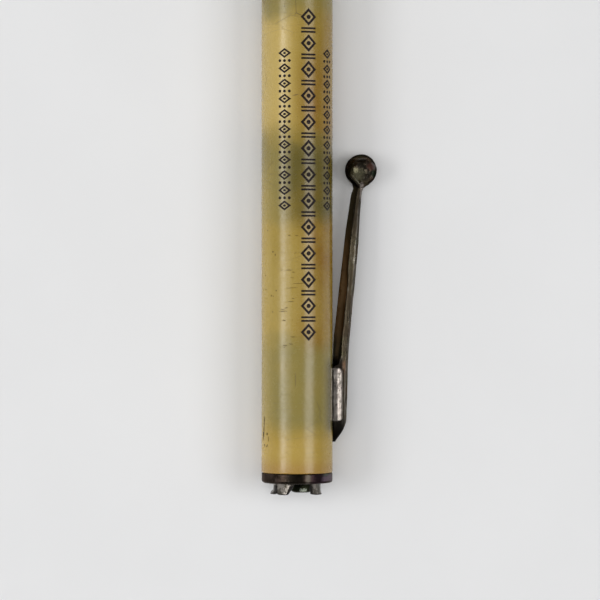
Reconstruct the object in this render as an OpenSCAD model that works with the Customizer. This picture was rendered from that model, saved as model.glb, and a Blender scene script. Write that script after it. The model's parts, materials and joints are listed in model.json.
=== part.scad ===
// Twist-action mechanical pencil with a ball-ended pocket clip and an eraser cup with claws.
// It lies on its side with its tip towards +Y. The origin is on the pencil's axis, at the
// outer face of the end ring. Each piece is drawn upright along +Z and then laid down.

/* [Barrel] */
// Outer diameter of the barrel tube
barrel_d = 9.5; // [9.4:0.05:10]
// Length of the barrel tube
barrel_len = 100; // [98:1:112]
// Wall thickness of the barrel tube
barrel_wall = 1; // [0.95:0.05:1]

/* [Eraser end] */
// Thickness of the end ring
ring_h = 1.35; // [1:0.05:1.6]
// Outer diameter of the eraser cup
cup_d = 6.3; // [6:0.05:6.35]
// How far the claws stand out of the end ring
claw_len = 1.55; // [1:0.05:2]
// Depth of the eraser cup behind the end ring's face
cup_depth = 4.7; // [4:0.1:5]
// How much each claw's tip turns outwards
claw_flare = 0.22; // [0:0.02:0.3]

/* [Clip] */
// Diameter of the ball at the clip's free end
ball_d = 4.3; // [4:0.1:4.6]
// Distance from the end ring's face to the middle of the ball
ball_z = 41.8; // [40:0.1:44]
// Distance from the pencil's axis to the middle of the ball
ball_off = 8.96; // [8.8:0.02:9.2]
// Sheet thickness of the clip
clip_t = 0.35; // [0.3:0.05:0.4]
// Width of the clip where the bracket holds it
clip_w = 2.6; // [2.4:0.1:2.8]
// Length of the bracket that holds the clip
bracket_len = 7.1; // [6:0.1:7.4]

/* [Mechanism] */
// Advance of the lead carrier for each turn of the nose
pitch = 3.2; // [3:0.1:3.4]
// Turns of the nose each way from the middle of the travel
half_turns = 4.5; // [4:0.5:4.5]
// Diameter of the lead
lead_d = 1.18; // [0.9:0.02:1.18]
// How far the lead stands out of the tip at mid travel
lead_out = 1.7; // [1:0.1:3]
// Number of spare leads in the magazine
spare_leads_n = 3; // [1:1:3]

/* [Nose] */
// Length of the nose cone
nose_len = 28.5; // [26:0.5:30]
// How far the lead guide stands out of the cone
guide_out = 2.3; // [1.5:0.1:3]
// Number of flutes in the nose's turning band
flutes = 24; // [16:2:30]

/* [Hidden] */
$fn = 64;

eps = 0.01;
press = 0.02;                              // radial gap of a pressed or soldered seat
run = 0.05;                                // radial gap of a seat that turns or slides

// Barrel
barrel_r = barrel_d / 2;
bore_r = barrel_r - barrel_wall;
barrel_z0 = ring_h;
barrel_z1 = barrel_z0 + barrel_len;
edge_round = 0.18;

// Eraser end
cup_r = cup_d / 2;
cup_wall = 0.3;
ring_edge = 0.35;                          // rounding of the end ring's outer edge
collar_r = bore_r - 0.3;                   // collar that carries the friction sleeve
collar_h = 1.7;
sleeve_z1 = ring_h + 5.4;                  // inner end of the friction sleeve
sleeve_slit = 0.5;

// Clip: where it points, and where its bracket is. The pencil rests on the barrel and the ball,
// so the clip points below the horizontal by this angle.
clip_roll = asin((barrel_r - ball_d / 2) / ball_off);
bracket_z0 = 8.2;
bracket_z1 = bracket_z0 + bracket_len;
ear_t = 0.45;
ear_gap = 0.06;                            // between a clip wall and an ear
ear_in = clip_w / 2 + ear_gap;
ear_top = barrel_r + 1.12;
slot_gap = 0.06;                           // between an ear and its slot
saddle_half = 33;                          // half angle of the bracket's saddle plate

// Magazine
liner_wall = 0.3;
liner_r = bore_r - press;
liner_in = liner_r - liner_wall;
liner_z0 = 7.2;
liner_z1 = barrel_z0 + 47;
floor_h = 1;
spare_len = 30;
spare_z0 = 16.5;
lead_r = lead_d / 2;

// Front mechanism, from the rear to the tip
sleeve_in = liner_r - 0.35;                // bore of the spiral sleeve
tube_r = 2.5;                              // drive tube
tube_in = 2.1;
slot_w = 1.4;
mech_z0 = barrel_z0 + 50.3;                // rear end of the drive tube
tail_z0 = mech_z0 + 2.6;
tail_h = 2;
bushing_h = 5;
flange_h = 1.05;
nose_gap = 0.1;
nose_z0 = barrel_z1 + flange_h + nose_gap;
nose_z1 = nose_z0 + nose_len;
spigot_r = 2.9;
spigot_z0 = barrel_z1 - bushing_h + 0.6;
seat_z1 = nose_z0 + 4.6;                   // front end of the drive tube, in the nose
stem_bore = 1.45;
guide_r = 1;
guide_in = lead_r + run + 0.01;
guide_z0 = nose_z1 - 3.5;
tip_z = nose_z1 + guide_out;

// Carrier
travel = pitch * half_turns;               // each way from the middle
lug_r = 0.65;
lug_z = (tail_z0 + tail_h + barrel_z1 - bushing_h) / 2;   // the middle of the spiral
carrier_r = tube_in - 0.08;
carrier_h = 8;
lug_reach = 3.2;
holder_r = 1.25;
holder_z1 = guide_z0 - travel - 0.5;
jaw_len = 6;
jaw_slit = 0.3;
lead_z1 = tip_z + lead_out;

// Spiral: a ribbon wound on the inside of its sleeve
ribbon_w = 1.5;                            // along the axis
ribbon_in = tube_r + 0.15;
ribbon_out = sleeve_in - press;
spiral_turns = floor((2 * travel + 6) / pitch) + 0.25;
spiral_steps = 24;                         // rings in each turn

// ---------------------------------------------------------------- helpers

// Lays an upright piece down, so that its +Z becomes the pencil's +Y.
module lay_down() {
    rotate([-90, 0, 0]) children();
}

// Turns a piece drawn towards +X to where the clip points.
module at_clip() {
    rotate([0, 0, clip_roll]) children();
}

module rod(r, z0, z1) {
    translate([0, 0, z0]) cylinder(r = r, h = z1 - z0);
}

module tube(r_out, r_in, z0, z1) {
    difference() {
        rod(r_out, z0, z1);
        rod(r_in, z0 - 1, z1 + 1);
    }
}

// Points of a circular arc, as [radius, height] pairs.
function arc(cx, cy, r, a0, a1, n = 6) =
    [for (i = [0 : n]) let (a = a0 + (a1 - a0) * i / n) [cx + r * cos(a), cy + r * sin(a)]];

function mix(a, b, t) = a + (b - a) * t;

// ---------------------------------------------------------------- barrel body

// The two slots that the bracket's ears pass through, as cutters.
module ear_slots() {
    for (side = [-1, 1])
        translate([0, side * (ear_in + ear_t / 2), (bracket_z0 + bracket_z1) / 2])
            translate([barrel_r / 2, 0, 0])
                cube([barrel_d, ear_t + 2 * slot_gap, bracket_len + 2 * slot_gap], center = true);
}

module barrel() {
    color("burlywood") lay_down() difference() {
        rotate_extrude() polygon(concat(
            [[bore_r, barrel_z0], [barrel_r - edge_round, barrel_z0]],
            arc(barrel_r - edge_round, barrel_z0 + edge_round, edge_round, -90, 0, 4),
            arc(barrel_r - edge_round, barrel_z1 - edge_round, edge_round, 0, 90, 4),
            [[bore_r, barrel_z1]]
        ));
        at_clip() ear_slots();
    }
}

module magazine_liner() {
    color("goldenrod") lay_down() difference() {
        tube(liner_r, liner_in, liner_z0, liner_z1);
        at_clip() ear_slots();
    }
}

module magazine_floor() {
    color("peru") lay_down() rod(liner_in - press, liner_z1 - floor_h, liner_z1);
}

// Loose leads side by side on the magazine's low side.
module spare_leads() {
    seat = liner_in - lead_r - press;
    apart = 2 * asin((lead_r + 0.01) / seat);
    color("dimgray") lay_down()
        for (i = [0 : spare_leads_n - 1])
            rotate([0, 0, 90 + (i - (spare_leads_n - 1) / 2) * apart])
                translate([seat, 0, 0]) rod(lead_r, spare_z0, spare_z0 + spare_len);
}

// One ear: straight inside, with a rounded shoulder outside and rounded corners at its ends.
module ear() {
    foot = liner_in - 0.6;
    end_r = 0.5;
    intersection() {
        linear_extrude(bracket_len) polygon(concat(
            [[foot, ear_in], [ear_top - 0.08, ear_in], [ear_top, ear_in + 0.08]],
            arc(ear_top - ear_t + 0.08, ear_in + 0.08, ear_t - 0.08, 0, 90, 6),
            [[foot, ear_in + ear_t]]
        ));
        rotate([-90, 0, 0]) linear_extrude(barrel_d) polygon(concat(
            [[foot, 0]],
            arc(ear_top - end_r, -end_r, end_r, 90, 0, 6),
            arc(ear_top - end_r, end_r - bracket_len, end_r, 0, -90, 6),
            [[foot, -bracket_len]]
        ));
    }
}

// A saddle plate inside the liner, with an ear on each side of the clip.
module clip_bracket() {
    plate_out = liner_in - press;
    plate_in = plate_out - 0.3;
    color("gainsboro") lay_down() at_clip() union() {
        translate([0, 0, bracket_z0]) rotate([0, 0, -saddle_half])
            rotate_extrude(angle = 2 * saddle_half)
                translate([plate_in, 0]) square([plate_out - plate_in, bracket_len]);
        for (side = [0, 1]) mirror([0, side, 0])
            translate([0, 0, bracket_z0]) ear();
    }
}

module spiral_sleeve() {
    color("goldenrod") lay_down()
        tube(liner_r, sleeve_in, tail_z0 - 2, barrel_z1 - bushing_h - 0.1);
}

// A ribbon swept along a helix: four corners for each ring, and a flat cap at each end.
module drive_spiral() {
    rings = ceil(spiral_turns * spiral_steps);
    rise = pitch / spiral_steps;
    start = lug_z - rise * rings / 2;
    // The groove's middle passes the lug, which stands on the side where the angle is 0.
    function ring(i) = let (
        a = 360 * (start + rise * i - lug_z) / pitch + 180,
        z = start + rise * i,
        h = ribbon_w / 2
    ) [for (c = [[ribbon_in, -h], [ribbon_out, -h], [ribbon_out, h], [ribbon_in, h]])
        [c[0] * cos(a), c[0] * sin(a), z + c[1]]];
    points = [for (i = [0 : rings]) each ring(i)];
    sides = [for (i = [0 : rings - 1], k = [0 : 3])
        let (a = 4 * i + k, b = 4 * i + (k + 1) % 4)
        each [[a, b + 4, b], [a, a + 4, b + 4]]];
    last = 4 * rings;
    caps = [[0, 1, 2], [0, 2, 3], [last, last + 2, last + 1], [last, last + 3, last + 2]];
    color("silver") lay_down() polyhedron(points = points, faces = concat(sides, caps));
}

module tail_bushing() {
    color("goldenrod") lay_down() tube(sleeve_in - press, tube_r + run, tail_z0, tail_z0 + tail_h);
}

module front_bushing() {
    z0 = barrel_z1 - bushing_h;
    round_r = 0.25;
    color("dimgray") lay_down() rotate_extrude() polygon(concat(
        [[spigot_r + run, z0], [bore_r - press, z0], [bore_r - press, barrel_z1]],
        arc(barrel_r - round_r, barrel_z1 + round_r, round_r, -90, 0, 4),
        arc(barrel_r - round_r, barrel_z1 + flange_h - round_r, round_r, 0, 90, 4),
        [[spigot_r + run, barrel_z1 + flange_h]]
    ));
}

// ---------------------------------------------------------------- clip body

// The clip's stations: height, radius of its back, and width.
clip_stations = [
    [5.4, barrel_r + 0.52, 1.1],
    [6.6, barrel_r + 1.34, 2.0],
    [7.7, barrel_r + 1.82, clip_w - 0.1],
    [8.6, barrel_r + 1.95, clip_w],
    [15.45, barrel_r + 2.14, clip_w],
    [15.75, barrel_r + 2.15, clip_w],
    [19.5, barrel_r + 2.4, clip_w],
    [26, barrel_r + 3.06, 2.5],
    [32, barrel_r + 3.66, 2.25],
    [37.6, barrel_r + 4.13, 1.65],
    [38.9, barrel_r + 4.28, 1.5],
    [39.7, barrel_r + 4.62, 1.4],
    [40.3, barrel_r + 4.84, 1.3],
];

// Radius of the channel's open edges: its root tabs reach the barrel between the ears.
clip_edges = [
    [5.4, barrel_r + 0.04], [7.7, barrel_r - 0.01], [15.45, barrel_r - 0.01],
    [15.75, barrel_r + 0.68], [19, barrel_r + 0.76], [21.8, barrel_r + 1.1],
    [25.8, barrel_r + 1.53], [29.8, barrel_r + 2], [33.6, barrel_r + 2.4],
    [38.7, barrel_r + 3.1], [39.7, barrel_r + 3.5], [40.3, barrel_r + 3.8],
];

// A smooth curve through the stations, with a few rings between each pair.
function clip_rings(n = 3) = [
    for (i = [0 : len(clip_stations) - 2], k = [0 : n - 1])
        let (
            p0 = clip_stations[max(i - 1, 0)], p1 = clip_stations[i],
            p2 = clip_stations[i + 1], p3 = clip_stations[min(i + 2, len(clip_stations) - 1)],
            t = k / n,
            m1 = (p2 - p0) / max(p2[0] - p0[0], eps) * (p2[0] - p1[0]),
            m2 = (p3 - p1) / max(p3[0] - p1[0], eps) * (p2[0] - p1[0])
        )
        (2 * pow(t, 3) - 3 * pow(t, 2) + 1) * p1 + (pow(t, 3) - 2 * pow(t, 2) + t) * m1
            + (3 * pow(t, 2) - 2 * pow(t, 3)) * p2 + (pow(t, 3) - pow(t, 2)) * m2,
    clip_stations[len(clip_stations) - 1],
];

// Half of a channel's outline from its open edge to the middle of its back, as [radius, side] points.
function channel_side(back, edge, half, corner) = concat(
    [[edge, half]],
    arc(back - corner, half - corner, corner, 90, 0, 4)
);

// One path across the channel, from one open edge over the back to the other.
function channel_path(back, edge, half, corner) =
    let (one = channel_side(back, edge, half, corner), n = len(one))
    concat(one, [for (i = [n - 1 : -1 : 0]) [one[i][0], -one[i][1]]]);

// A bent U channel of sheet metal, open towards the barrel.
module clip() {
    rings = clip_rings();
    function edge(r) = lookup(r[0], clip_edges);
    function corner(r) = min(0.6, 0.85 * r[2] / 2, 0.85 * (r[1] - edge(r)));
    function outer(r) = channel_path(r[1], edge(r), r[2] / 2, corner(r));
    function inner(r) = channel_path(r[1] - clip_t, edge(r), r[2] / 2 - clip_t, max(corner(r) - clip_t, 0.03));
    n = len(outer(rings[0]));
    points = [for (r = rings) each concat(
        [for (p = outer(r)) [p[0], p[1], r[0]]],
        [for (p = inner(r)) [p[0], p[1], r[0]]]
    )];
    // Quads between two rings, over the outer path and back under the inner one.
    function at(ring, k) = ring * 2 * n + (k < n ? k : 3 * n - 1 - k);
    skin = [for (i = [0 : len(rings) - 2], k = [0 : 2 * n - 1])
        let (m = (k + 1) % (2 * n))
        each [[at(i, k), at(i, m), at(i + 1, m)], [at(i, k), at(i + 1, m), at(i + 1, k)]]];
    function cap(ring, flip) = [for (k = [0 : n - 2])
        let (a = ring * 2 * n + k, b = a + 1, c = b + n, d = a + n)
        each flip ? [[a, c, b], [a, d, c]] : [[a, b, c], [a, c, d]]];
    color("dimgray") lay_down() at_clip()
        polyhedron(points = points, faces = concat(skin, cap(0, true), cap(len(rings) - 1, false)));
}

// A hollow ball with a hole in its underside, where the clip's neck enters it.
module clip_ball() {
    ball_wall = 0.35;
    hole_w = 1.56;
    hole_in = 0.92;                        // from the ball's middle towards the barrel
    hole_out = 0.76;
    r = ball_d / 2;
    color("dimgray") lay_down() at_clip() translate([ball_off, 0, ball_z]) difference() {
        sphere(r);
        sphere(r - ball_wall);
        translate([-hole_in, -hole_w / 2, -ball_d]) cube([hole_in + hole_out, hole_w, ball_d]);
    }
}

// ---------------------------------------------------------------- end cap body

module end_ring() {
    hole = cup_r + press;
    color("dimgray") lay_down() rotate_extrude() polygon(concat(
        [[hole, 0]],
        arc(barrel_r - ring_edge, ring_edge, ring_edge, -90, 0, 6),
        [[barrel_r, ring_h - 0.08], [barrel_r - 0.08, ring_h - eps], [collar_r, ring_h - eps]],
        [[collar_r, ring_h + collar_h], [hole, ring_h + collar_h]]
    ));
}

// A split spring sleeve that holds the end cap in the barrel by friction.
module friction_sleeve() {
    color("goldenrod") lay_down() difference() {
        tube(bore_r - 0.03, collar_r + press, ring_h + eps, sleeve_z1);
        for (a = [0 : 90 : 270]) rotate([0, 0, a])
            translate([0, -sleeve_slit / 2, ring_h + collar_h + 0.3])
                cube([barrel_r, sleeve_slit, sleeve_z1]);
    }
}

// Notches between the claws: direction from the top of the pencil, width at the root, width at the tips.
claw_notches = [[14, 2.35, 3.3], [128, 1.5, 2.2], [200, 1.2, 1.9], [244, 1.7, 2.4], [298, 0.35, 0.7]];

module eraser_cup() {
    in_r = cup_r - cup_wall;
    bend = claw_len - 0.55;                // where the claws start to turn outwards
    color("silver") lay_down() difference() {
        rotate_extrude() polygon([
            [0, cup_depth], [in_r, cup_depth], [in_r, -bend],
            [in_r + claw_flare * 0.4, -bend - 0.3], [in_r + claw_flare, -claw_len],
            [cup_r + claw_flare, -claw_len], [cup_r + claw_flare * 0.3, -bend - 0.25],
            [cup_r, -bend], [cup_r, cup_depth + cup_wall - 0.1],
            [cup_r - 0.1, cup_depth + cup_wall], [0, cup_depth + cup_wall],
        ]);
        for (c = claw_notches)
            rotate([0, 0, c[0] - 90]) rotate([90, 0, 90])
                linear_extrude(barrel_r) polygon([
                    [-c[1] / 2, -0.05], [c[1] / 2, -0.05],
                    [c[2] / 2, -claw_len - 1], [-c[2] / 2, -claw_len - 1],
                ]);
    }
}

// ---------------------------------------------------------------- nose body

// The cone's outside: a fluted turning band, a groove, and a long taper with a soft shoulder.
band_h = 4.2;
nose_r = barrel_r - 0.05;
nose_tip_r = 1.45;

function nose_taper(n = 12) = [for (i = [0 : n]) let (t = i / n)
    [mix(nose_r - 0.12, nose_tip_r, pow(t, 1.25)), mix(nose_z0 + band_h + 0.7, nose_z1 - 0.3, t)]];

module nose_cone() {
    flute_r = 0.28;
    color("dimgray") lay_down() difference() {
        rotate_extrude() polygon(concat(
            [[tube_r + press, spigot_z0], [spigot_r, spigot_z0], [spigot_r, nose_z0 - 0.03]],
            [[nose_r - 0.2, nose_z0 - 0.03], [nose_r, nose_z0 + 0.2]],
            [[nose_r, nose_z0 + band_h], [nose_r - 0.3, nose_z0 + band_h + 0.25]],
            [[nose_r - 0.3, nose_z0 + band_h + 0.5]],
            nose_taper(),
            [[nose_tip_r - 0.25, nose_z1], [guide_r + press, nose_z1], [guide_r + press, guide_z0]],
            [[stem_bore, guide_z0], [stem_bore, seat_z1], [tube_r + press, seat_z1]]
        ));
        for (i = [0 : flutes - 1]) rotate([0, 0, 360 * i / flutes])
            translate([nose_r + flute_r * 0.45, 0, nose_z0 + 0.5])
                cylinder(r = flute_r, h = band_h - 1, $fn = 16);
    }
}

module lead_guide() {
    color("silver") lay_down() rotate_extrude() polygon([
        [guide_in, guide_z0 + eps], [guide_r, guide_z0 + eps], [guide_r, tip_z - 0.5],
        [guide_in + 0.12, tip_z], [guide_in, tip_z],
    ]);
}

// The slotted tube that turns with the nose and keeps the carrier's lug from turning on its own.
module drive_tube() {
    slot_z0 = lug_z - travel - 1.2;
    slot_z1 = lug_z + travel + 1.2;
    color("goldenrod") lay_down() difference() {
        tube(tube_r, tube_in, mech_z0, seat_z1 - eps);
        translate([0, -slot_w / 2, slot_z0]) cube([barrel_r, slot_w, slot_z1 - slot_z0]);
    }
}

module drive_tube_plug() {
    color("goldenrod") lay_down() union() {
        rod(tube_in - press, mech_z0 - 0.2, mech_z0 + 1.2);
        rod(tube_r, mech_z0 - 0.4, mech_z0 - eps);
    }
}

module retaining_collar() {
    color("silver") lay_down() tube(sleeve_in - 0.2, tube_r + press, mech_z0 + 0.5, mech_z0 + 1.5);
}

// A dished spring washer between the collar and the tail bushing.
module friction_washer() {
    z0 = mech_z0 + 1.55;
    z1 = tail_z0 - 0.05;
    t = 0.3;
    color("silver") lay_down() rotate_extrude() polygon([
        [tube_r + 0.1, z0], [sleeve_in - 0.25, z1 - t], [sleeve_in - 0.25, z1], [tube_r + 0.1, z0 + t],
    ]);
}

// ---------------------------------------------------------------- carrier body

module lead_carrier() {
    z0 = lug_z - carrier_h / 2;
    z1 = lug_z + carrier_h / 2;
    color("goldenrod") lay_down() difference() {
        rotate_extrude() polygon([
            [0, z0], [carrier_r - 0.3, z0], [carrier_r, z0 + 0.3],
            [carrier_r, z1 - 0.3], [carrier_r - 0.3, z1], [0, z1],
        ]);
        rod(holder_r + press, z1 - 3, z1 + 1);                       // seat of the lead holder
        translate([0, 0, lug_z]) rotate([0, 90, 0]) cylinder(r = lug_r + press, h = barrel_r);
    }
}

// The pin that stands through the slot into the spiral's groove.
module drive_lug() {
    color("silver") lay_down()
        translate([eps, 0, lug_z]) rotate([0, 90, 0]) cylinder(r = lug_r, h = lug_reach - eps);
}

// A tube whose split front end grips the lead.
module lead_holder() {
    z0 = lug_z + carrier_h / 2 - 3 + eps;
    color("goldenrod") lay_down() difference() {
        tube(holder_r, lead_r + 0.01, z0, holder_z1);
        for (a = [0, 90]) rotate([0, 0, a])
            translate([-holder_r - 1, -jaw_slit / 2, holder_z1 - jaw_len])
                cube([2 * holder_r + 2, jaw_slit, jaw_len + 1]);
        difference() {                                               // step for the band
            rod(holder_r + 1, holder_z1 - 1.8, holder_z1 + 1);
            rod(holder_r - 0.2, holder_z1 - 2, holder_z1 + 2);
        }
    }
}

// A small spring band that closes the jaws on the lead.
module jaw_band() {
    color("silver") lay_down()
        tube(holder_r, holder_r - 0.2 + press / 2, holder_z1 - 1.75, holder_z1 - 0.6);
}

module lead() {
    point = 1.6;                                                     // length of the worn point
    z0 = holder_z1 - jaw_len;
    color("black") lay_down() rotate_extrude() polygon([
        [0, z0], [lead_r, z0], [lead_r, lead_z1 - point], [lead_r * 0.35, lead_z1 - 0.05], [0, lead_z1],
    ]);
}

// ---------------------------------------------------------------- nodes

barrel();
magazine_liner();
magazine_floor();
spare_leads();
clip_bracket();
spiral_sleeve();
drive_spiral();
tail_bushing();
front_bushing();
clip();
clip_ball();
end_ring();
friction_sleeve();
eraser_cup();
nose_cone();
lead_guide();
drive_tube();
drive_tube_plug();
retaining_collar();
friction_washer();
lead_carrier();
drive_lug();
lead_holder();
jaw_band();
lead();
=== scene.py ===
"""Looks for the twist-action pencil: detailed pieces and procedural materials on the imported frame.

Lengths are in mm, and become metres where a mesh, a lamp or the camera is made."""
import json
import math
import random

import bmesh
import bpy
import numpy as np
from mathutils import Matrix, Vector, noise


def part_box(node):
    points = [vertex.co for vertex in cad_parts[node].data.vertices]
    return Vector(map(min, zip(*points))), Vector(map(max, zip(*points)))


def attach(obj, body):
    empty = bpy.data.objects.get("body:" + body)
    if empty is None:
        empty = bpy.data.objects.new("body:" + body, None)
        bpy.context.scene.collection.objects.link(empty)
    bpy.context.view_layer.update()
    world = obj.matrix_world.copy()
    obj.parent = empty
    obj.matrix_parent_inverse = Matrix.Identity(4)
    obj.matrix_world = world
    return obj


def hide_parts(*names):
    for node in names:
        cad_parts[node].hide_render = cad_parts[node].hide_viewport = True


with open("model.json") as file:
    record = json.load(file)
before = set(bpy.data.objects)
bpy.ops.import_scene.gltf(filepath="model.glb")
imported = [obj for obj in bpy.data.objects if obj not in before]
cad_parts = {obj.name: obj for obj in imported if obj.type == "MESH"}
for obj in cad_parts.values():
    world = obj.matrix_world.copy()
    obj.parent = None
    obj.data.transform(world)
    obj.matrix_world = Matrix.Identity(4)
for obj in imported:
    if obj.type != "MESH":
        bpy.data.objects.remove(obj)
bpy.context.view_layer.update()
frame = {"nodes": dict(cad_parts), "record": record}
MM = 0.001

# -------- sizes, in mm, from the frame

def size_of(node):
    """A node's lowest and highest corners at rest."""
    return [[v / MM for v in corner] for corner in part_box(node)]


def reach(node):
    """Where a node starts and ends along the pencil."""
    lo, hi = size_of(node)
    return lo[1], hi[1]


(_, BARREL_Y0, FLOOR_Z), (BARREL_R, BARREL_Y1, _) = size_of("barrel")
RING_Y1 = BARREL_Y0
ball_lo, ball_hi = size_of("clip_ball")
BALL_R = (ball_hi[0] - ball_lo[0]) / 2
BALL = Vector([(a + b) / 2 for a, b in zip(ball_lo, ball_hi)])
ROLL = math.atan2(-BALL.z, BALL.x)                 # the clip points this far below the horizontal
RAD = Vector((math.cos(ROLL), 0, -math.sin(ROLL)))  # from the axis towards the clip's back
SIDE = Vector((math.sin(ROLL), 0, math.cos(ROLL)))  # square to the clip's plane, upwards
BALL_OFF = BALL.dot(RAD)
EAR_Y0, EAR_Y1 = reach("clip_bracket")
EAR_TOP = max((v.co / MM).dot(RAD) for v in frame["nodes"]["clip_bracket"].data.vertices)
CLAW_Y0, CUP_Y1 = reach("eraser_cup")
SPIGOT_Y0, NOSE_Y1 = reach("nose_cone")
BUSH_Y0, BUSH_Y1 = reach("front_bushing")
NOSE_Y0 = BUSH_Y1 + 0.1
GUIDE_Y0, GUIDE_Y1 = reach("lead_guide")
LEAD_Y0, LEAD_Y1 = reach("lead")
LEAD_R = (size_of("lead")[1][0] - size_of("lead")[0][0]) / 2
CLIP_Y0 = reach("clip")[0]
CUP_R, CUP_WALL = 3.15, 0.3


def clip_rings():
    """The clip's own rings, read from the frame: y, radius of the back, radius of the edges, half width."""
    rings = {}
    for v in frame["nodes"]["clip"].data.vertices:
        p = v.co / MM
        rings.setdefault(round(p.y, 3), []).append((p.dot(RAD), abs(p.dot(SIDE))))
    return np.array([(y, max(a for a, _ in c), min(a for a, _ in c), max(b for _, b in c))
                     for y, c in sorted(rings.items())])


RINGS = clip_rings()
PAST_HEEL = RINGS[RINGS[:, 0] > 8]
BACK_FIT, HALF_FIT = (np.polyfit(PAST_HEEL[:, 0], PAST_HEEL[:, k], 4) for k in (1, 3))

# -------- camera, light and floor

scene = bpy.context.scene
scene.view_settings.view_transform = "Standard"
CAMERA = (0.39, 24.4, 400.0)
VIEW_MM = 80.28                                    # width of the picture at the pencil's axis
cam_data = bpy.data.cameras.new("camera")
cam_data.sensor_width = 36
cam_data.lens = cam_data.sensor_width * CAMERA[2] / VIEW_MM
cam = bpy.data.objects.new("camera", cam_data)
cam.location = Vector(CAMERA) * MM
scene.collection.objects.link(cam)
scene.camera = cam


def softbox(name, angle, distance, width, length, radiance, middle):
    """A soft area light over the table, in metres, turned towards the pencil; its length runs along the pencil."""
    data = bpy.data.lights.new(name, "AREA")
    data.shape = "RECTANGLE"
    data.size, data.size_y = width, length
    data.energy = radiance * math.pi * width * length
    lamp = bpy.data.objects.new(name, data)
    way = Vector((math.sin(math.radians(angle)), 0, math.cos(math.radians(angle))))
    across = Vector((0, 1, 0)).cross(way).normalized()
    lamp.location = way * distance + Vector((0, middle, 0))
    lamp.rotation_euler = Matrix((across, way.cross(across), way)).transposed().to_euler()
    lamp.visible_camera = False
    scene.collection.objects.link(lamp)
    return lamp


softbox("softbox_left", -46, 0.62, 0.20, 0.31, 5.9, 0.02)
softbox("softbox_left_rim", -27, 0.62, 0.15, 0.27, 2.0, 0.01)
softbox("softbox_right", 40, 0.62, 0.30, 0.33, 4.2, 0.0)
softbox("fill_overhead", 0, 1.3, 1.0, 1.0, 1.85, 0.0).visible_glossy = False
world = bpy.data.worlds.new("studio")
scene.world = world
world.use_nodes = True
tree = world.node_tree
sky = tree.nodes["Background"]
sky.inputs[0].default_value = (0.98, 0.99, 1.0, 1)
way = tree.nodes.new("ShaderNodeSeparateXYZ")
tree.links.new(tree.nodes.new("ShaderNodeTexCoord").outputs["Generated"], way.inputs[0])
both = tree.nodes.new("ShaderNodeMath")
both.operation = "MULTIPLY"
tree.links.new(both.outputs[0], sky.inputs[1])
for k, axis, kind, ends in ((0, 2, "SMOOTHERSTEP", (-0.1, 0.95, 0.5, 0.12)),   # bright near the table, dark overhead
                            (1, 0, "LINEAR", (-1.0, 1.0, 1.35, 0.45))):        # and brighter on the left
    ramp = tree.nodes.new("ShaderNodeMapRange")
    ramp.interpolation_type = kind
    for key, value in zip(("From Min", "From Max", "To Min", "To Max"), ends):
        ramp.inputs[key].default_value = value
    tree.links.new(way.outputs[axis], ramp.inputs["Value"])
    tree.links.new(ramp.outputs[0], both.inputs[k])

# -------- material graphs

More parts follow.
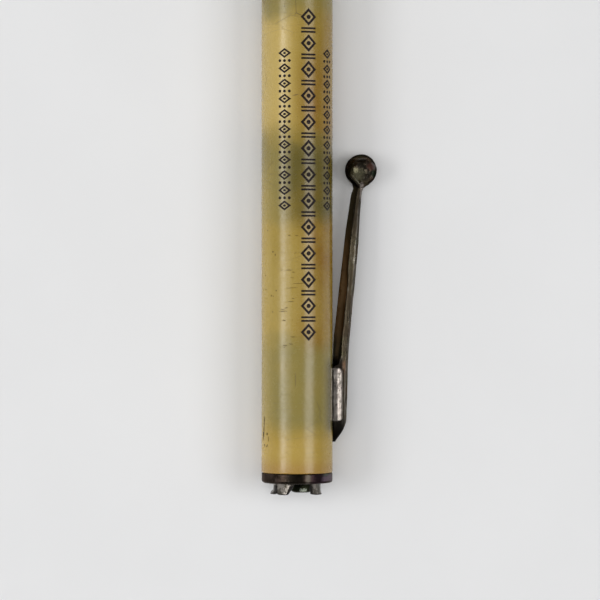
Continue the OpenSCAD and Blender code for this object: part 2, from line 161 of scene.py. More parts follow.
class Graph:
    """A procedural material. Its coordinates, self.p, are the piece's own, in millimetres."""

    def __init__(self, name, **shader):
        self.mat = bpy.data.materials.new(name)
        self.mat.use_nodes = True
        self.tree = self.mat.node_tree
        self.tree.nodes.clear()
        self.out = self.tree.nodes.new("ShaderNodeOutputMaterial")
        self.bsdf = self.tree.nodes.new("ShaderNodeBsdfPrincipled")
        self.tree.links.new(self.bsdf.outputs[0], self.out.inputs[0])
        coords = self.tree.nodes.new("ShaderNodeTexCoord")
        self.p = self.vec("SCALE", coords.outputs["Object"], scale=1000.0)
        self.set(**shader)

    def put(self, socket, value):
        if isinstance(value, bpy.types.NodeSocket):
            self.tree.links.new(value, socket)
        elif hasattr(value, "__len__") and len(value) == 3 and socket.type == "RGBA":
            socket.default_value = (*value, 1)
        else:
            socket.default_value = value

    def set(self, **shader):
        for key, value in shader.items():
            self.put(self.bsdf.inputs[key.replace("_", " ")], value)
        return self

    def node(self, kind, values=(), **props):
        n = self.tree.nodes.new("ShaderNode" + kind)
        for key, value in props.items():
            setattr(n, key, value)
        for key, value in dict(values).items():
            self.put(n.inputs[key], value)
        return n

    def math(self, op, a, b=0.0, c=0.0):
        return self.node("Math", {0: a, 1: b, 2: c}, operation=op).outputs[0]

    def times(self, first, *others):
        for other in others:
            first = self.math("MULTIPLY", first, other)
        return first

    def plus(self, a, b):
        return self.math("ADD", a, b)

    def most(self, a, b):
        return self.math("MAXIMUM", a, b)

    def rest(self, share):
        return self.math("SUBTRACT", 1.0, share)

    def linear(self, value, factor, shift):
        return self.math("MULTIPLY_ADD", value, factor, shift)

    def curve(self, value, factors):
        """A polynomial in the value, highest power first."""
        total = float(factors[0])
        for factor in factors[1:]:
            total = self.linear(total, value, float(factor))
        return total

    def vec(self, op, a, b=(0, 0, 0), scale=1.0):
        n = self.node("VectorMath", {0: a, 1: b}, operation=op)
        if op == "SCALE":
            self.put(n.inputs["Scale"], scale)
        return n.outputs["Value" if op in ("DOT_PRODUCT", "LENGTH", "DISTANCE") else "Vector"]

    def xyz(self, vector):
        return self.node("SeparateXYZ", {0: vector}).outputs

    def join(self, x, y, z=0.0):
        return self.node("CombineXYZ", {0: x, 1: y, 2: z}).outputs[0]

    def step(self, value, low, high, to_low=0.0, to_high=1.0):
        n = self.node("MapRange", {"Value": value, "From Min": low, "From Max": high,
                                   "To Min": to_low, "To Max": to_high}, interpolation_type="SMOOTHSTEP")
        return n.outputs[0]

    def band(self, value, a, b, c, d):
        """1 between b and c, 0 before a and after d."""
        return self.times(self.step(value, a, b), self.step(value, d, c))

    def mix(self, share, a, b):
        n = self.node("Mix", data_type="RGBA", blend_type="MIX")
        for k, value in ((0, share), (6, a), (7, b)):
            self.put(n.inputs[k], value)
        return n.outputs[2]

    def cover(self, colour, mask, share, tone):
        """The colour, with so large a share of a tone over it where the mask is 1."""
        return self.mix(self.times(mask, share), colour, tone)

    def spread(self, at, stretch):
        at = self.p if at is None else at
        return self.vec("MULTIPLY", at, stretch) if stretch else at

    def noise(self, scale, detail=3.0, rough=0.5, at=None, stretch=None):
        return self.node("TexNoise", {"Vector": self.spread(at, stretch), "Scale": scale, "Detail": detail,
                                      "Roughness": rough}).outputs[0]

    def veins(self, scale, at, stretch):
        """The distance from a net of random lines."""
        return self.node("TexVoronoi", {"Vector": self.spread(at, stretch), "Scale": scale},
                         feature="DISTANCE_TO_EDGE").outputs["Distance"]

    def specks(self, scale, size, share, at=None):
        """Small round spots in a share of the cells, size in cell widths."""
        v = self.node("TexVoronoi", {"Vector": self.spread(at, None), "Scale": scale})
        chosen = self.math("LESS_THAN", self.xyz(v.outputs["Color"])[0], share)
        return self.times(self.step(v.outputs["Distance"], size, size * 0.5), chosen)

    def bump(self, height, depth_mm, normal=None):
        values = {"Height": height, "Distance": depth_mm * MM, "Strength": 1.0}
        if normal is not None:
            values["Normal"] = normal
        return self.node("Bump", values).outputs[0]


CLOUD_PITCH = 27.0


def celluloid():
    g = Graph("celluloid", IOR=1.5)
    x, y, z = g.xyz(g.p)
    turn = g.math("ARCTAN2", x, z)
    flat = g.join(g.times(turn, BARREL_R), y)
    # Clouds of grey-green across the tube, with soft uneven edges.
    drift = g.linear(g.noise(0.07, 2.0), 7.0, -3.5)
    small = g.linear(g.noise(0.28, 3.0, 0.55), 3.0, -1.5)
    along = g.plus(y, g.plus(drift, small))

    def wave(crest, length):
        return g.math("COSINE", g.times(g.math("SUBTRACT", along, crest), 2 * math.pi / length))

    green = g.times(g.step(wave(13.4, CLOUD_PITCH), -0.25, 0.7), g.step(g.noise(0.2, 3.0), 0.25, 0.6, 0.7, 1.0))
    pale = g.step(g.noise(0.11, 3.0, 0.5, stretch=(1.0, 0.45, 1.0)), 0.35, 0.68)
    colour = g.mix(pale, (0.305, 0.205, 0.024), (0.385, 0.275, 0.062))
    streak = g.step(g.noise(0.9, 3.0, 0.6, at=flat, stretch=(1.0, 0.05, 1.0)), 0.42, 0.66)
    colour = g.cover(colour, streak, 0.3, (0.31, 0.215, 0.022))
    light = g.times(g.step(y, 43.0, 50.0), g.step(turn, 0.35, -0.5))
    colour = g.cover(colour, light, 0.85, (0.55, 0.40, 0.12))
    # The side next to the clip is browner and darker in ochre stains, least at the ends: partly its own colour, partly
    # painted shade.
    ochre_and_painted_shade = g.step(g.noise(0.13, 3.0, 0.6, stretch=(1.0, 0.7, 1.0)), 0.36, 0.6, 0.45, 1.0)
    middle = g.times(g.step(y, 8.0, 20.0), g.step(y, 62.0, 48.0, 0.4, 1.0))
    ochre_and_painted_shade = g.times(ochre_and_painted_shade, g.times(g.step(turn, -0.35, 0.6), middle))
    colour = g.cover(colour, ochre_and_painted_shade, 0.95, (0.235, 0.118, 0.008))
    # Every second cloud is deeper towards that side.
    deep = g.times(g.step(wave(39.5, 2 * CLOUD_PITCH), 0.45, 0.95), g.step(turn, -0.65, 0.0))
    colour = g.mix(green, colour, g.mix(deep, (0.245, 0.195, 0.05), (0.115, 0.09, 0.014)))
    # The side turned away from the clip is painted lighter, as painted light; the tube is also lighter next to the end
    # ring.
    left_side_painted_light = g.times(g.step(turn, -0.5, -1.2, 0.0, 0.26), g.step(y, 45.0, 37.0))
    colour = g.mix(left_side_painted_light, colour, (0.72, 0.50, 0.11))
    colour = g.mix(g.step(y, 8.5, 4.5, 0.0, 0.17), colour, (0.85, 0.56, 0.16))
    # Brown tint at the tube's ends.
    end = g.most(g.step(y, RING_Y1 + 2.6, RING_Y1 + 0.1), g.step(y, BARREL_Y1 - 1.6, BARREL_Y1 - 0.1))
    colour = g.cover(colour, end, 0.55, (0.33, 0.17, 0.045))
    # Hair cracks: fine ones across the tube, a few longer ones along it.
    patch = g.step(g.noise(0.16, 2.0), 0.52, 0.62)
    craze = g.times(g.step(g.veins(1.0, flat, (0.12, 0.8, 1.0)), 0.012, 0.002), patch)
    rare = g.step(g.noise(0.22, 2.0, at=g.vec("ADD", g.p, (31.0, 7.0, 3.0))), 0.6, 0.66)
    crack = g.times(g.step(g.veins(0.22, flat, (1.3, 0.7, 1.0)), 0.012, 0.003), rare)
    lines = g.most(g.times(craze, 0.5), crack)
    colour = g.cover(colour, lines, 0.8, (0.07, 0.04, 0.012))
    dirt_and_painted_shade = g.most(g.specks(0.55, 0.07, 0.12, at=flat), g.specks(1.6, 0.09, 0.05, at=flat))
    colour = g.cover(colour, dirt_and_painted_shade, 0.75, (0.06, 0.035, 0.012))
    # Painted shade lies round the bracket's slots, thickest at the ears, with a near-black painted shadow along each
    # slot's gap.
    near = g.times(g.step(x, 3.3, 4.6), g.step(y, EAR_Y1 + 2.2, EAR_Y1 + 0.2), g.step(y, EAR_Y0 - 2.2, EAR_Y0 - 0.4))
    colour = g.cover(colour, near, 0.8, (0.07, 0.055, 0.015))
    slot_gap_painted_shadow = g.times(g.step(g.vec("DOT_PRODUCT", g.p, tuple(RAD)), 4.12, 4.34), near)
    colour = g.mix(slot_gap_painted_shadow, colour, (0.012, 0.009, 0.004))
    scratch = g.step(g.veins(0.6, flat, (0.5, 2.2, 1.0)), 0.01, 0.0)
    n = g.bump(g.noise(0.33, 2.0, 0.4), 0.045)
    n = g.bump(g.noise(2.5, 3.0, 0.5, stretch=(1.0, 0.5, 1.0)), 0.0010, n)
    n = g.bump(g.times(g.plus(lines, scratch), -1.0), 0.0015, n)
    rough = g.plus(g.step(g.noise(0.8, 4.0, 0.65), 0.3, 0.7, 0.22, 0.31), g.times(lines, 0.3))
    return g.set(Base_Color=colour, Roughness=rough, Normal=n)


def tarnished(name, dark, warm, pale, wear=0.6, rough=(0.24, 0.44), metallic=0.85, grain=0.05, more=None,
              crumple=0.0, edge=(0.45, 0.43, 0.4)):
    """Old plated metal: dark tarnish, reddish and greenish clouds, pale worn streaks and pits.
    more adds a piece's own wear; crumple is the depth of small dents."""
    g = Graph(name, Metallic=metallic, Specular_Tint=edge)
    cloud = g.noise(0.6, 4.0, 0.6)
    g.fine = g.noise(3.2, 5.0, 0.65, stretch=(1.0, 0.3, 1.0))
    colour = g.mix(g.step(cloud, 0.4, 0.64), dark, warm)
    green = g.step(g.noise(0.7, 3.0, 0.6, at=g.vec("ADD", g.p, (11.0, 5.0, 2.0))), 0.52, 0.66)
    colour = g.cover(colour, green, 0.6, tuple(c * k for c, k in zip(dark, (0.9, 1.1, 0.78))))
    worn = g.times(g.step(g.fine, 0.5, 0.66), g.step(g.noise(0.5, 3.0), 0.44, 0.62))
    colour = g.cover(colour, worn, wear, pale)
    pits = g.specks(2.6, 0.16, 0.3)
    colour = g.cover(colour, pits, 0.7, (0.010, 0.008, 0.006))
    if more:
        colour, share = more(g, colour)
        g.set(Metallic=g.times(share, metallic))
    n = g.bump(g.noise(1.3, 3.0, 0.5), 0.03)
    n = g.bump(g.noise(2.4, 3.0, 0.6, stretch=(1.0, 0.13, 1.0)), grain, n)
    n = g.bump(g.times(pits, -1.0), 0.012, n)
    if crumple:
        n = g.bump(g.noise(2.2, 4.0, 0.62), crumple, n)
    rough = g.step(g.plus(cloud, g.times(g.fine, 0.5)), 0.5, 1.0, *rough)
    return g.set(Base_Color=colour, Roughness=rough, Normal=n)


def clip_wear(g, colour):
    """The clip: a painted highlight on its rounded fold and by the neck, with painted shade below the fold, brown dirt
    inside the channel painted lighter as light in its shade, and painted shade on the heel, over and beside the
    bracket's ears.
    Returns the colour, and the share of it that is metal."""
    y = g.xyz(g.p)[1]
    rho, side = (g.vec("DOT_PRODUCT", g.p, tuple(way)) for way in (RAD, SIDE))
    back, half = g.curve(y, BACK_FIT), g.curve(y, HALF_FIT)
    below = g.math("SUBTRACT", back, rho)              # distance below the clip's back
    uneven = g.plus(below, g.linear(g.noise(0.45, 3.0), 0.36, -0.18))
    # Below the rounded fold, a dark band of painted shade; on the fold, a streaky painted highlight; by the ball, a
    # pale painted highlight on the same fold (neck).
    hollow_painted_shade = g.times(g.band(uneven, 0.46, 0.66, 0.86, 1.3), g.step(y, EAR_Y1 + 0.2, EAR_Y1 + 1.2))
    fold_painted_highlight = g.times(g.band(uneven, 0.14, 0.3, 0.42, 0.58), g.step(y, 38.5, 36.0), g.step(g.fine, 0.36, 0.56, 0.35, 1.0))
    neck = g.times(g.step(y, 37.6, 38.6), g.band(below, 0.08, 0.2, 0.42, 0.62))
    rust = g.times(g.band(y, EAR_Y1 - 1.5, EAR_Y1 + 0.2, EAR_Y1 + 0.4, EAR_Y1 + 1.2),
                   g.step(rho, BARREL_R + 1.75, BARREL_R + 1.5))
    slant = g.linear(g.math("SUBTRACT", y, CLIP_Y0), 0.4, BARREL_R - 0.02)
    front = g.math("SUBTRACT", slant, rho)             # how far a point lies within the heel's slanted face
    # The heel, the wall over the ears and a strip beside them are painted near-black as painted shade.
    heel = g.times(g.step(front, -0.08, 0.10), g.step(y, EAR_Y0 + 0.5, EAR_Y0 - 0.1))
    over = g.times(g.step(rho, BARREL_R + 1.35, BARREL_R + 1.1), g.step(y, EAR_Y1 + 2.0, EAR_Y1 + 0.8))
    beside = g.times(g.step(rho, EAR_TOP + 0.5, EAR_TOP + 0.26), g.step(y, EAR_Y1 + 0.1, EAR_Y1 - 0.4))
    painted_shade_mask = g.most(heel, g.most(over, g.times(beside, 0.85)))
    bare = g.times(g.step(front, 0.0, -0.12), g.step(y, EAR_Y0 + 0.6, EAR_Y0 - 0.1))
    # Inside the channel: brown dirt, painted lighter and mostly non-metal as painted light in the channel's shade.
    inside = g.times(g.step(g.plus(side, half), 0.14, 0.26), g.step(g.math("SUBTRACT", half, side), 0.14, 0.26),
                     g.step(below, 0.14, 0.26), g.step(y, EAR_Y1 - 1.0, EAR_Y1 + 2.5))
    uneven_brown = g.step(g.noise(0.8, 3.0, 0.6, stretch=(1.0, 0.3, 1.0)), 0.4, 0.62)
    brown = g.mix(uneven_brown, (0.085, 0.043, 0.013), (0.16, 0.088, 0.034))
    brown = g.mix(g.step(y, 29.0, 36.0), brown, (0.034, 0.026, 0.012))
    brown = g.mix(g.step(y, 21.5, 18.0), brown, (0.034, 0.029, 0.015))
    ridge = g.times(g.step(y, 32.0, 28.0), g.step(g.plus(side, half), 0.55, 0.35), g.band(uneven, 0.75, 0.95, 1.2, 1.5))
    brown = g.cover(brown, ridge, 0.5, (0.21, 0.135, 0.065))
    colour = g.mix(g.step(y, 31.0, 37.0, 0.0, 0.92), colour, (0.026, 0.020, 0.013))
    for mask, share, tone in ((hollow_painted_shade, 0.8, (0.022, 0.017, 0.010)), (fold_painted_highlight, 0.6, (0.155, 0.145, 0.128)),
                              (neck, 0.7, (0.36, 0.31, 0.28)), (rust, 0.35, (0.10, 0.035, 0.016)),
                              (bare, 0.95, (0.085, 0.08, 0.066)), (inside, 1.0, brown),
                              (painted_shade_mask, 0.95, (0.003, 0.0025, 0.002))):
        colour = g.cover(colour, mask, share, tone)
    return colour, g.rest(g.times(inside, 0.92))


def ring_wear(g, colour):
    """The end ring: painted shade, nearly black, on top, heat colours on the side by the clip, the purple one also
    darkened as painted shade, and a grey band painted as a highlight.
    """
    x, y, z = g.xyz(g.p)
    top, on_ring = g.step(z, 0.5, 1.2), g.step(y, 1.8, 1.5)
    rising = g.linear(x, -0.25, g.plus(y, g.linear(g.noise(1.2, 3.0), 0.8, -0.4)))
    # plum: a purple heat colour, darkened as painted shade beside the highlight band.
    plum = g.times(g.band(x, 1.2, 2.4, 3.6, 4.3), top, on_ring)
    lilac = g.times(g.step(x, 3.0, 3.7), g.step(rising, 0.25, -0.1), g.step(y, 0.2, 0.45), top)
    mint = g.times(g.step(x, 3.2, 3.9), g.step(rising, -0.1, 0.25), on_ring)
    # worn: a narrow grey band painted as a highlight; black: painted shade on top.
    worn = g.times(g.band(x, 1.0, 1.35, 1.55, 1.95), top, on_ring)
    black = g.times(g.band(x, -1.7, -0.8, 0.7, 1.2), top, on_ring)
    for mask, share, tone in ((plum, 0.8, (0.020, 0.009, 0.014)), (lilac, 0.7, (0.125, 0.085, 0.118)),
                              (mint, 0.7, (0.085, 0.105, 0.085)), (worn, 0.5, (0.11, 0.10, 0.08)),
                              (black, 0.8, (0.012, 0.010, 0.006))):
        colour = g.cover(colour, mask, share, tone)
    return colour, g.rest(g.times(g.most(lilac, mint), 0.4))


def ball_wear(g, colour):
    """The ball: an olive patch painted lighter as light on its top, a red and a green one, painted shade along the
    groove by the neck with a painted highlight on its ridge, and a dent painted dark in its hollow and pale on its rim.
    """
    x, y, z = g.xyz(g.vec("SUBTRACT", g.p, tuple(BALL)))
    ragged = g.linear(g.noise(1.6, 4.0, 0.65), 0.8, -0.4)
    plan = g.join(x, y)

    def spot(cx, cy, size, soft=0.45, stretch=(1, 1, 1)):
        d = g.vec("LENGTH", g.vec("MULTIPLY", g.vec("SUBTRACT", plan, (cx, cy, 0.0)), stretch))
        return g.times(g.step(g.plus(d, ragged), size, size * soft), g.step(z, -0.2, 0.3))

    def beside(line, shift, wide, narrow):
        return g.step(g.math("ABSOLUTE", g.plus(line, shift)), wide, narrow)

    # A lighter olive patch on the ball's top, painted as light falling on it.
    olive_painted_light = spot(-0.42, -0.62, 1.35, 0.25)
    red = spot(1.35, 0.45, 0.75)
    # Along the groove by the neck: painted shade (dark), and a painted highlight on the ridge beside it (light).
    groove = g.plus(g.times(g.plus(x, 1.5), 0.72), g.times(g.plus(y, 1.15), 0.69))
    front = g.times(g.step(y, -0.55, -0.9), g.step(z, -0.6, 0.0))
    dark = g.times(beside(groove, 0.05, 0.3, 0.12), front)
    light = g.times(beside(groove, -0.46, 0.15, 0.05), front, g.step(x, 0.3, -0.1))
    for mask, share, tone in ((olive_painted_light, 0.85, (0.16, 0.15, 0.092)), (red, 0.85, (0.050, 0.017, 0.012)),
                              (spot(1.85, -0.6, 0.7), 0.8, (0.012, 0.026, 0.018)),
                              # The next two spots paint a dent on top: its hollow dark as painted shade, its rim pale
                              # as a painted highlight.
                              (spot(0.1, 1.18, 0.34, 0.5, (0.45, 1.5, 1)), 0.85, (0.010, 0.007, 0.005)),
                              (spot(-0.15, 1.48, 0.4, 0.4, (0.42, 1.6, 1)), 0.6, (0.20, 0.18, 0.15)),
                              (dark, g.step(x, -1.4, -0.9, 0.6, 0.9), (0.008, 0.005, 0.003)),
                              (light, 0.75, (0.30, 0.28, 0.21)),
                              (spot(0.12, -2.2, 0.5, 0.4, (1.5, 0.7, 1)), 0.8, (0.34, 0.29, 0.26))):
        colour = g.cover(colour, mask, share, tone)
    return colour, g.rest(g.most(g.times(olive_painted_light, 0.27), g.times(red, 0.75)))


def nickel(name, light, dull, stained=0.6, rough=(0.24, 0.36), wave=0.03, inside=0.0):
    """Worn nickel plate: clouded, with dark stains and pits, and within the given radius green-black, partly patina and
    partly painted shade, with a pale painted highlight spot.
    """
    g = Graph(name, Metallic=1.0)
    cloud = g.noise(0.9, 4.0, 0.6)
    colour = g.mix(g.step(cloud, 0.4, 0.62), dull, light)
    stain = g.step(g.noise(1.6, 5.0, 0.7, at=g.vec("ADD", g.p, (3.0, 9.0, 1.0))), 0.5, 0.62)
    colour = g.cover(colour, stain, stained, (0.05, 0.045, 0.03))
    if inside:
        x, y, z = g.xyz(g.p)
        # Within the radius: green-black painted shade, partly patina, and a pale spot painted as a highlight.
        deep = g.step(g.vec("LENGTH", g.join(x, 0.0, z)), inside, inside - 0.1)
        near = g.vec("DISTANCE", g.join(x, g.times(y, 1.4)), (0.86, 1.3 * CLAW_Y0 + 0.3, 0.0))
        spot = g.step(g.plus(near, g.noise(2.0, 2.0)), 1.05, 0.75)
        colour = g.mix(deep, colour, g.mix(spot, (0.022, 0.026, 0.014), (0.85, 0.92, 0.74)))
    pits = g.specks(3.2, 0.2, 0.2)
    colour = g.cover(colour, pits, 0.8, (0.02, 0.017, 0.012))
    n = g.bump(g.noise(1.3, 2.0, 0.5), wave)
    n = g.bump(g.noise(5.0, 4.0, 0.7, stretch=(1.0, 0.35, 1.0)), 0.008, n)
    rough = g.plus(g.step(cloud, 0.35, 0.7, *rough), g.times(stain, 0.15))
    return g.set(Base_Color=colour, Roughness=rough, Normal=n)


def turned_metal(name, colour_a, colour_b):
    """Plain metal with fine turning lines round the pencil's axis."""
    g = Graph(name, Metallic=1.0)
    cloud = g.noise(0.5, 4.0, 0.6)
    colour = g.mix(g.step(cloud, 0.35, 0.65), colour_a, colour_b)
    spots = g.step(g.noise(2.2, 5.0, 0.7), 0.6, 0.72)
    colour = g.cover(colour, spots, 0.5, tuple(c * 0.35 for c in colour_a))
    n = g.bump(g.noise(12.0, 2.0, 0.5, at=g.join(0.0, g.xyz(g.p)[1])), 0.006)
    n = g.bump(g.noise(6.0, 4.0, 0.6), 0.002, n)
    return g.set(Base_Color=colour, Roughness=g.step(cloud, 0.3, 0.7, 0.28, 0.42), Normal=n)


def plain(name, colour_a, colour_b, rough=(0.45, 0.6), scale=1.5, depth=0.004, **shader):
    """A dull material with mottled colour and a fine grain."""
    g = Graph(name, **shader)
    cloud = g.noise(scale, 5.0, 0.6)
    grain = g.noise(scale * 8, 4.0, 0.6)
    colour = g.mix(g.step(cloud, 0.35, 0.65), colour_a, colour_b)
    return g.set(Base_Color=colour, Roughness=g.step(grain, 0.3, 0.7, *rough), Normal=g.bump(grain, depth))


def ink():
    g = Graph("ink", IOR=1.22)
    worn = g.step(g.noise(3.0, 4.0, 0.65), 0.56, 0.74)
    colour = g.cover((0.014, 0.009, 0.008), worn, 0.4, (0.12, 0.08, 0.035))
    return g.set(Base_Color=colour, Roughness=g.step(g.noise(5.0), 0.3, 0.7, 0.36, 0.55), Normal=g.bump(worn, 0.002))


BRONZE = ((0.060, 0.049, 0.032), (0.078, 0.056, 0.036), (0.36, 0.32, 0.26))
SMOKED = ((0.020, 0.013, 0.009), (0.050, 0.033, 0.028), (0.26, 0.22, 0.20), 0.3, (0.24, 0.4), 0.8, 0.006)
mats = {
    "celluloid": celluloid(),
    "bronze": tarnished("tarnished_bronze", *BRONZE),
    "clip": tarnished("tarnished_clip", *BRONZE, grain=0.08, more=clip_wear),
    # The ball's dark edge tint keeps its rim from reflecting the bright table: painted shade at the rim.
    "ball": tarnished("tarnished_ball", (0.050, 0.042, 0.029), (0.058, 0.036, 0.026), (0.55, 0.5, 0.42), 0.3,
                      (0.2, 0.3), 0.95, 0.006, ball_wear, crumple=0.06, edge=(0.2, 0.18, 0.16)),
    "nose": tarnished("tarnished_nose", *SMOKED),
    "ring": tarnished("tarnished_ring", *SMOKED, more=ring_wear),
    "nickel": nickel("worn_nickel", (0.40, 0.36, 0.32), (0.28, 0.245, 0.22), 0.4, (0.27, 0.4)),
    "cup": nickel("dirty_nickel", (0.30, 0.27, 0.24), (0.10, 0.09, 0.075), 0.85, (0.22, 0.4), 0.06, CUP_R - 0.12),
    "brass": turned_metal("brass", (0.50, 0.33, 0.13), (0.68, 0.48, 0.22)),
    "steel": turned_metal("steel", (0.34, 0.33, 0.32), (0.55, 0.54, 0.52)),
    "vulcanite": plain("vulcanite", (0.02, 0.016, 0.013), (0.045, 0.035, 0.028), (0.35, 0.5)),
    "graphite": plain("graphite", (0.035, 0.035, 0.038), (0.07, 0.07, 0.075), (0.38, 0.55), 3.0, Metallic=0.25),
    "ink": ink(),
    # A dark material that paints shade on the claws' edges and the ears' feet.
    "dirt_and_painted_shade": plain("claw_painted_shade", (0.020, 0.016, 0.012), (0.007, 0.005, 0.004), (0.45, 0.7), 2.0, 0.003, IOR=1.3),
    "crack": plain("crack_dirt", (0.05, 0.026, 0.007), (0.018, 0.009, 0.003), (0.8, 0.95), 2.0, 0.002, IOR=1.05),
}
mats = {k: v.mat for k, v in mats.items()}

# -------- mesh helpers

def mesh_object(name, verts, faces):
    me = bpy.data.meshes.new(name)
    me.from_pydata([Vector(v) * MM for v in verts], [], faces)
    ob = bpy.data.objects.new(name, me)
    scene.collection.objects.link(ob)
    return ob


def build(name, verts, faces, mat, body, slot=None, replaces=(), sharp=38.0, painted_shade=()):
    """A piece from points and faces; edges sharper than the given angle stay crisp. The numbered faces it is given
    get a dark material that paints shade on them."""
    ob = mesh_object(name, verts, faces)
    me = ob.data
    for k in painted_shade:
        me.polygons[k].material_index = 1
    bm = bmesh.new()
    bm.from_mesh(me)
    bmesh.ops.remove_doubles(bm, verts=bm.verts, dist=1e-7)
    bmesh.ops.dissolve_degenerate(bm, edges=bm.edges, dist=1e-8)
    bmesh.ops.recalc_face_normals(bm, faces=bm.faces)
    for f in bm.faces:
        f.smooth = True
    for e in bm.edges:
        if len(e.link_faces) == 2 and e.calc_face_angle(0) > math.radians(sharp):
            e.smooth = False
    bm.to_mesh(me)
    bm.free()
    me.materials.append(mats[mat])
    if painted_shade:
        me.materials.append(mats["dirt_and_painted_shade"])
    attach(ob, body)
    if replaces:
        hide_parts(*replaces)
    return ob


def ring_faces(n, a, b):
    """Quads between two closed rings of n points that start at a and b."""
    return [[a + j, a + (j + 1) % n, b + (j + 1) % n, b + j] for j in range(n)]


def grid_faces(rows, n, base=0):
    """Quads over closed rings of n points, one after another."""
    return [f for i in range(rows - 1) for f in ring_faces(n, base + i * n, base + (i + 1) * n)]


def polar(r, turn, y):
    """A point at radius r, at an angle from the top of the pencil towards +X, at y along the axis."""
    return (r * math.sin(turn), y, r * math.cos(turn))


def clip_point(rho, side, y):
    """A point at rho from the axis towards the clip's back, and at side from the clip's plane, upwards."""
    return tuple(RAD * rho + SIDE * side + Vector((0, y, 0)))


def arc(cr, cy, r, a0, a1, n=6):
    """Points of a circular arc in a profile, as (radius, y)."""
    return [(cr + r * math.cos(math.radians(a0 + (a1 - a0) * i / n)),
             cy + r * math.sin(math.radians(a0 + (a1 - a0) * i / n))) for i in range(n + 1)]


def lathe(profile, seg=160, shape=None):
    """Points and faces of a closed profile turned round the axis; shape may move a point."""
    verts = []
    for r, y in profile:
        for j in range(seg):
            a = 2 * math.pi * j / seg
            verts.append(polar(shape(r, a, y) if shape else r, a, y))
    return verts, grid_faces(len(profile), seg) + ring_faces(seg, (len(profile) - 1) * seg, 0)


def lumps(x, y, z, wavelength, depth, seed=0.0):
    """Smooth random height at a point."""
    return depth * noise.noise(Vector((x / wavelength + seed, y / wavelength, z / wavelength)))


def round_lumps(a, y, wavelength, depth, seed=0.0, r=5):
    """The same on a turned piece, at an angle and a place along the axis."""
    return lumps(r * math.sin(a), y, r * math.cos(a), wavelength, depth, seed)


def along(y0, y1, step):
    """Even steps from y0 to y1, close to the given one."""
    n = max(1, round((y1 - y0) / step))
    return [y0 + (y1 - y0) * i / n for i in range(n + 1)]


def smooth(t):
    t = min(1.0, max(0.0, t))
    return t * t * (3 - 2 * t)


# -------- barrel

BORE_R = BARREL_R - 1.0
EDGE = 0.16                                        # rounding of the tube's ends


def barrel_shape(r, a, y):
    if r < BARREL_R - EDGE * 0.5:
        return r
    return r + round_lumps(a, y * 0.35, 4.0, 0.012, r=4.75)


profile = [(BORE_R, BARREL_Y0)] + arc(BARREL_R - EDGE, BARREL_Y0 + EDGE, EDGE, -90, 0)
profile += [(BARREL_R, y) for y in along(BARREL_Y0 + EDGE, BARREL_Y1 - EDGE, 1.6)[1:-1]]
profile += arc(BARREL_R - EDGE, BARREL_Y1 - EDGE, EDGE, 0, 90) + [(BORE_R, BARREL_Y1)]
barrel = build("barrel_tube", *lathe(profile, 192, barrel_shape), "celluloid", "barrel", "celluloid", ["barrel"])


def prism(name, outline, low, high):
    """A closed prism: outline is (radial, side) in the clip's own directions, low and high are along the axis."""
    verts = [clip_point(r, n, y) for y in (low, high) for r, n in outline]
    m = len(outline)
    return mesh_object(name, verts, ring_faces(m, 0, m) + [list(range(m))[::-1], list(range(m, 2 * m))])


def cut(target, cutters):
    """Cuts the cutters out of a piece, and removes them."""
    for c in cutters:
        m = target.modifiers.new("cut", "BOOLEAN")
        m.operation, m.solver, m.object = "DIFFERENCE", "EXACT", c
    dg = bpy.context.evaluated_depsgraph_get()
    made = bpy.data.meshes.new_from_object(target.evaluated_get(dg))
    target.modifiers.clear()
    target.data = made
    for c in cutters:
        bpy.data.objects.remove(c)


EAR_IN, EAR_T, SLOT_GAP = 1.36, 0.45, 0.07
SLOT_IN, SLOT_OUT = EAR_IN - SLOT_GAP, EAR_IN + EAR_T + SLOT_GAP
cut(barrel, [prism("slot", [(2.5, s * SLOT_IN), (5.5, s * SLOT_IN), (5.5, s * SLOT_OUT), (2.5, s * SLOT_OUT)],
                   EAR_Y0 - SLOT_GAP, EAR_Y1 + SLOT_GAP) for s in (1, -1)])

# -------- printed ornament

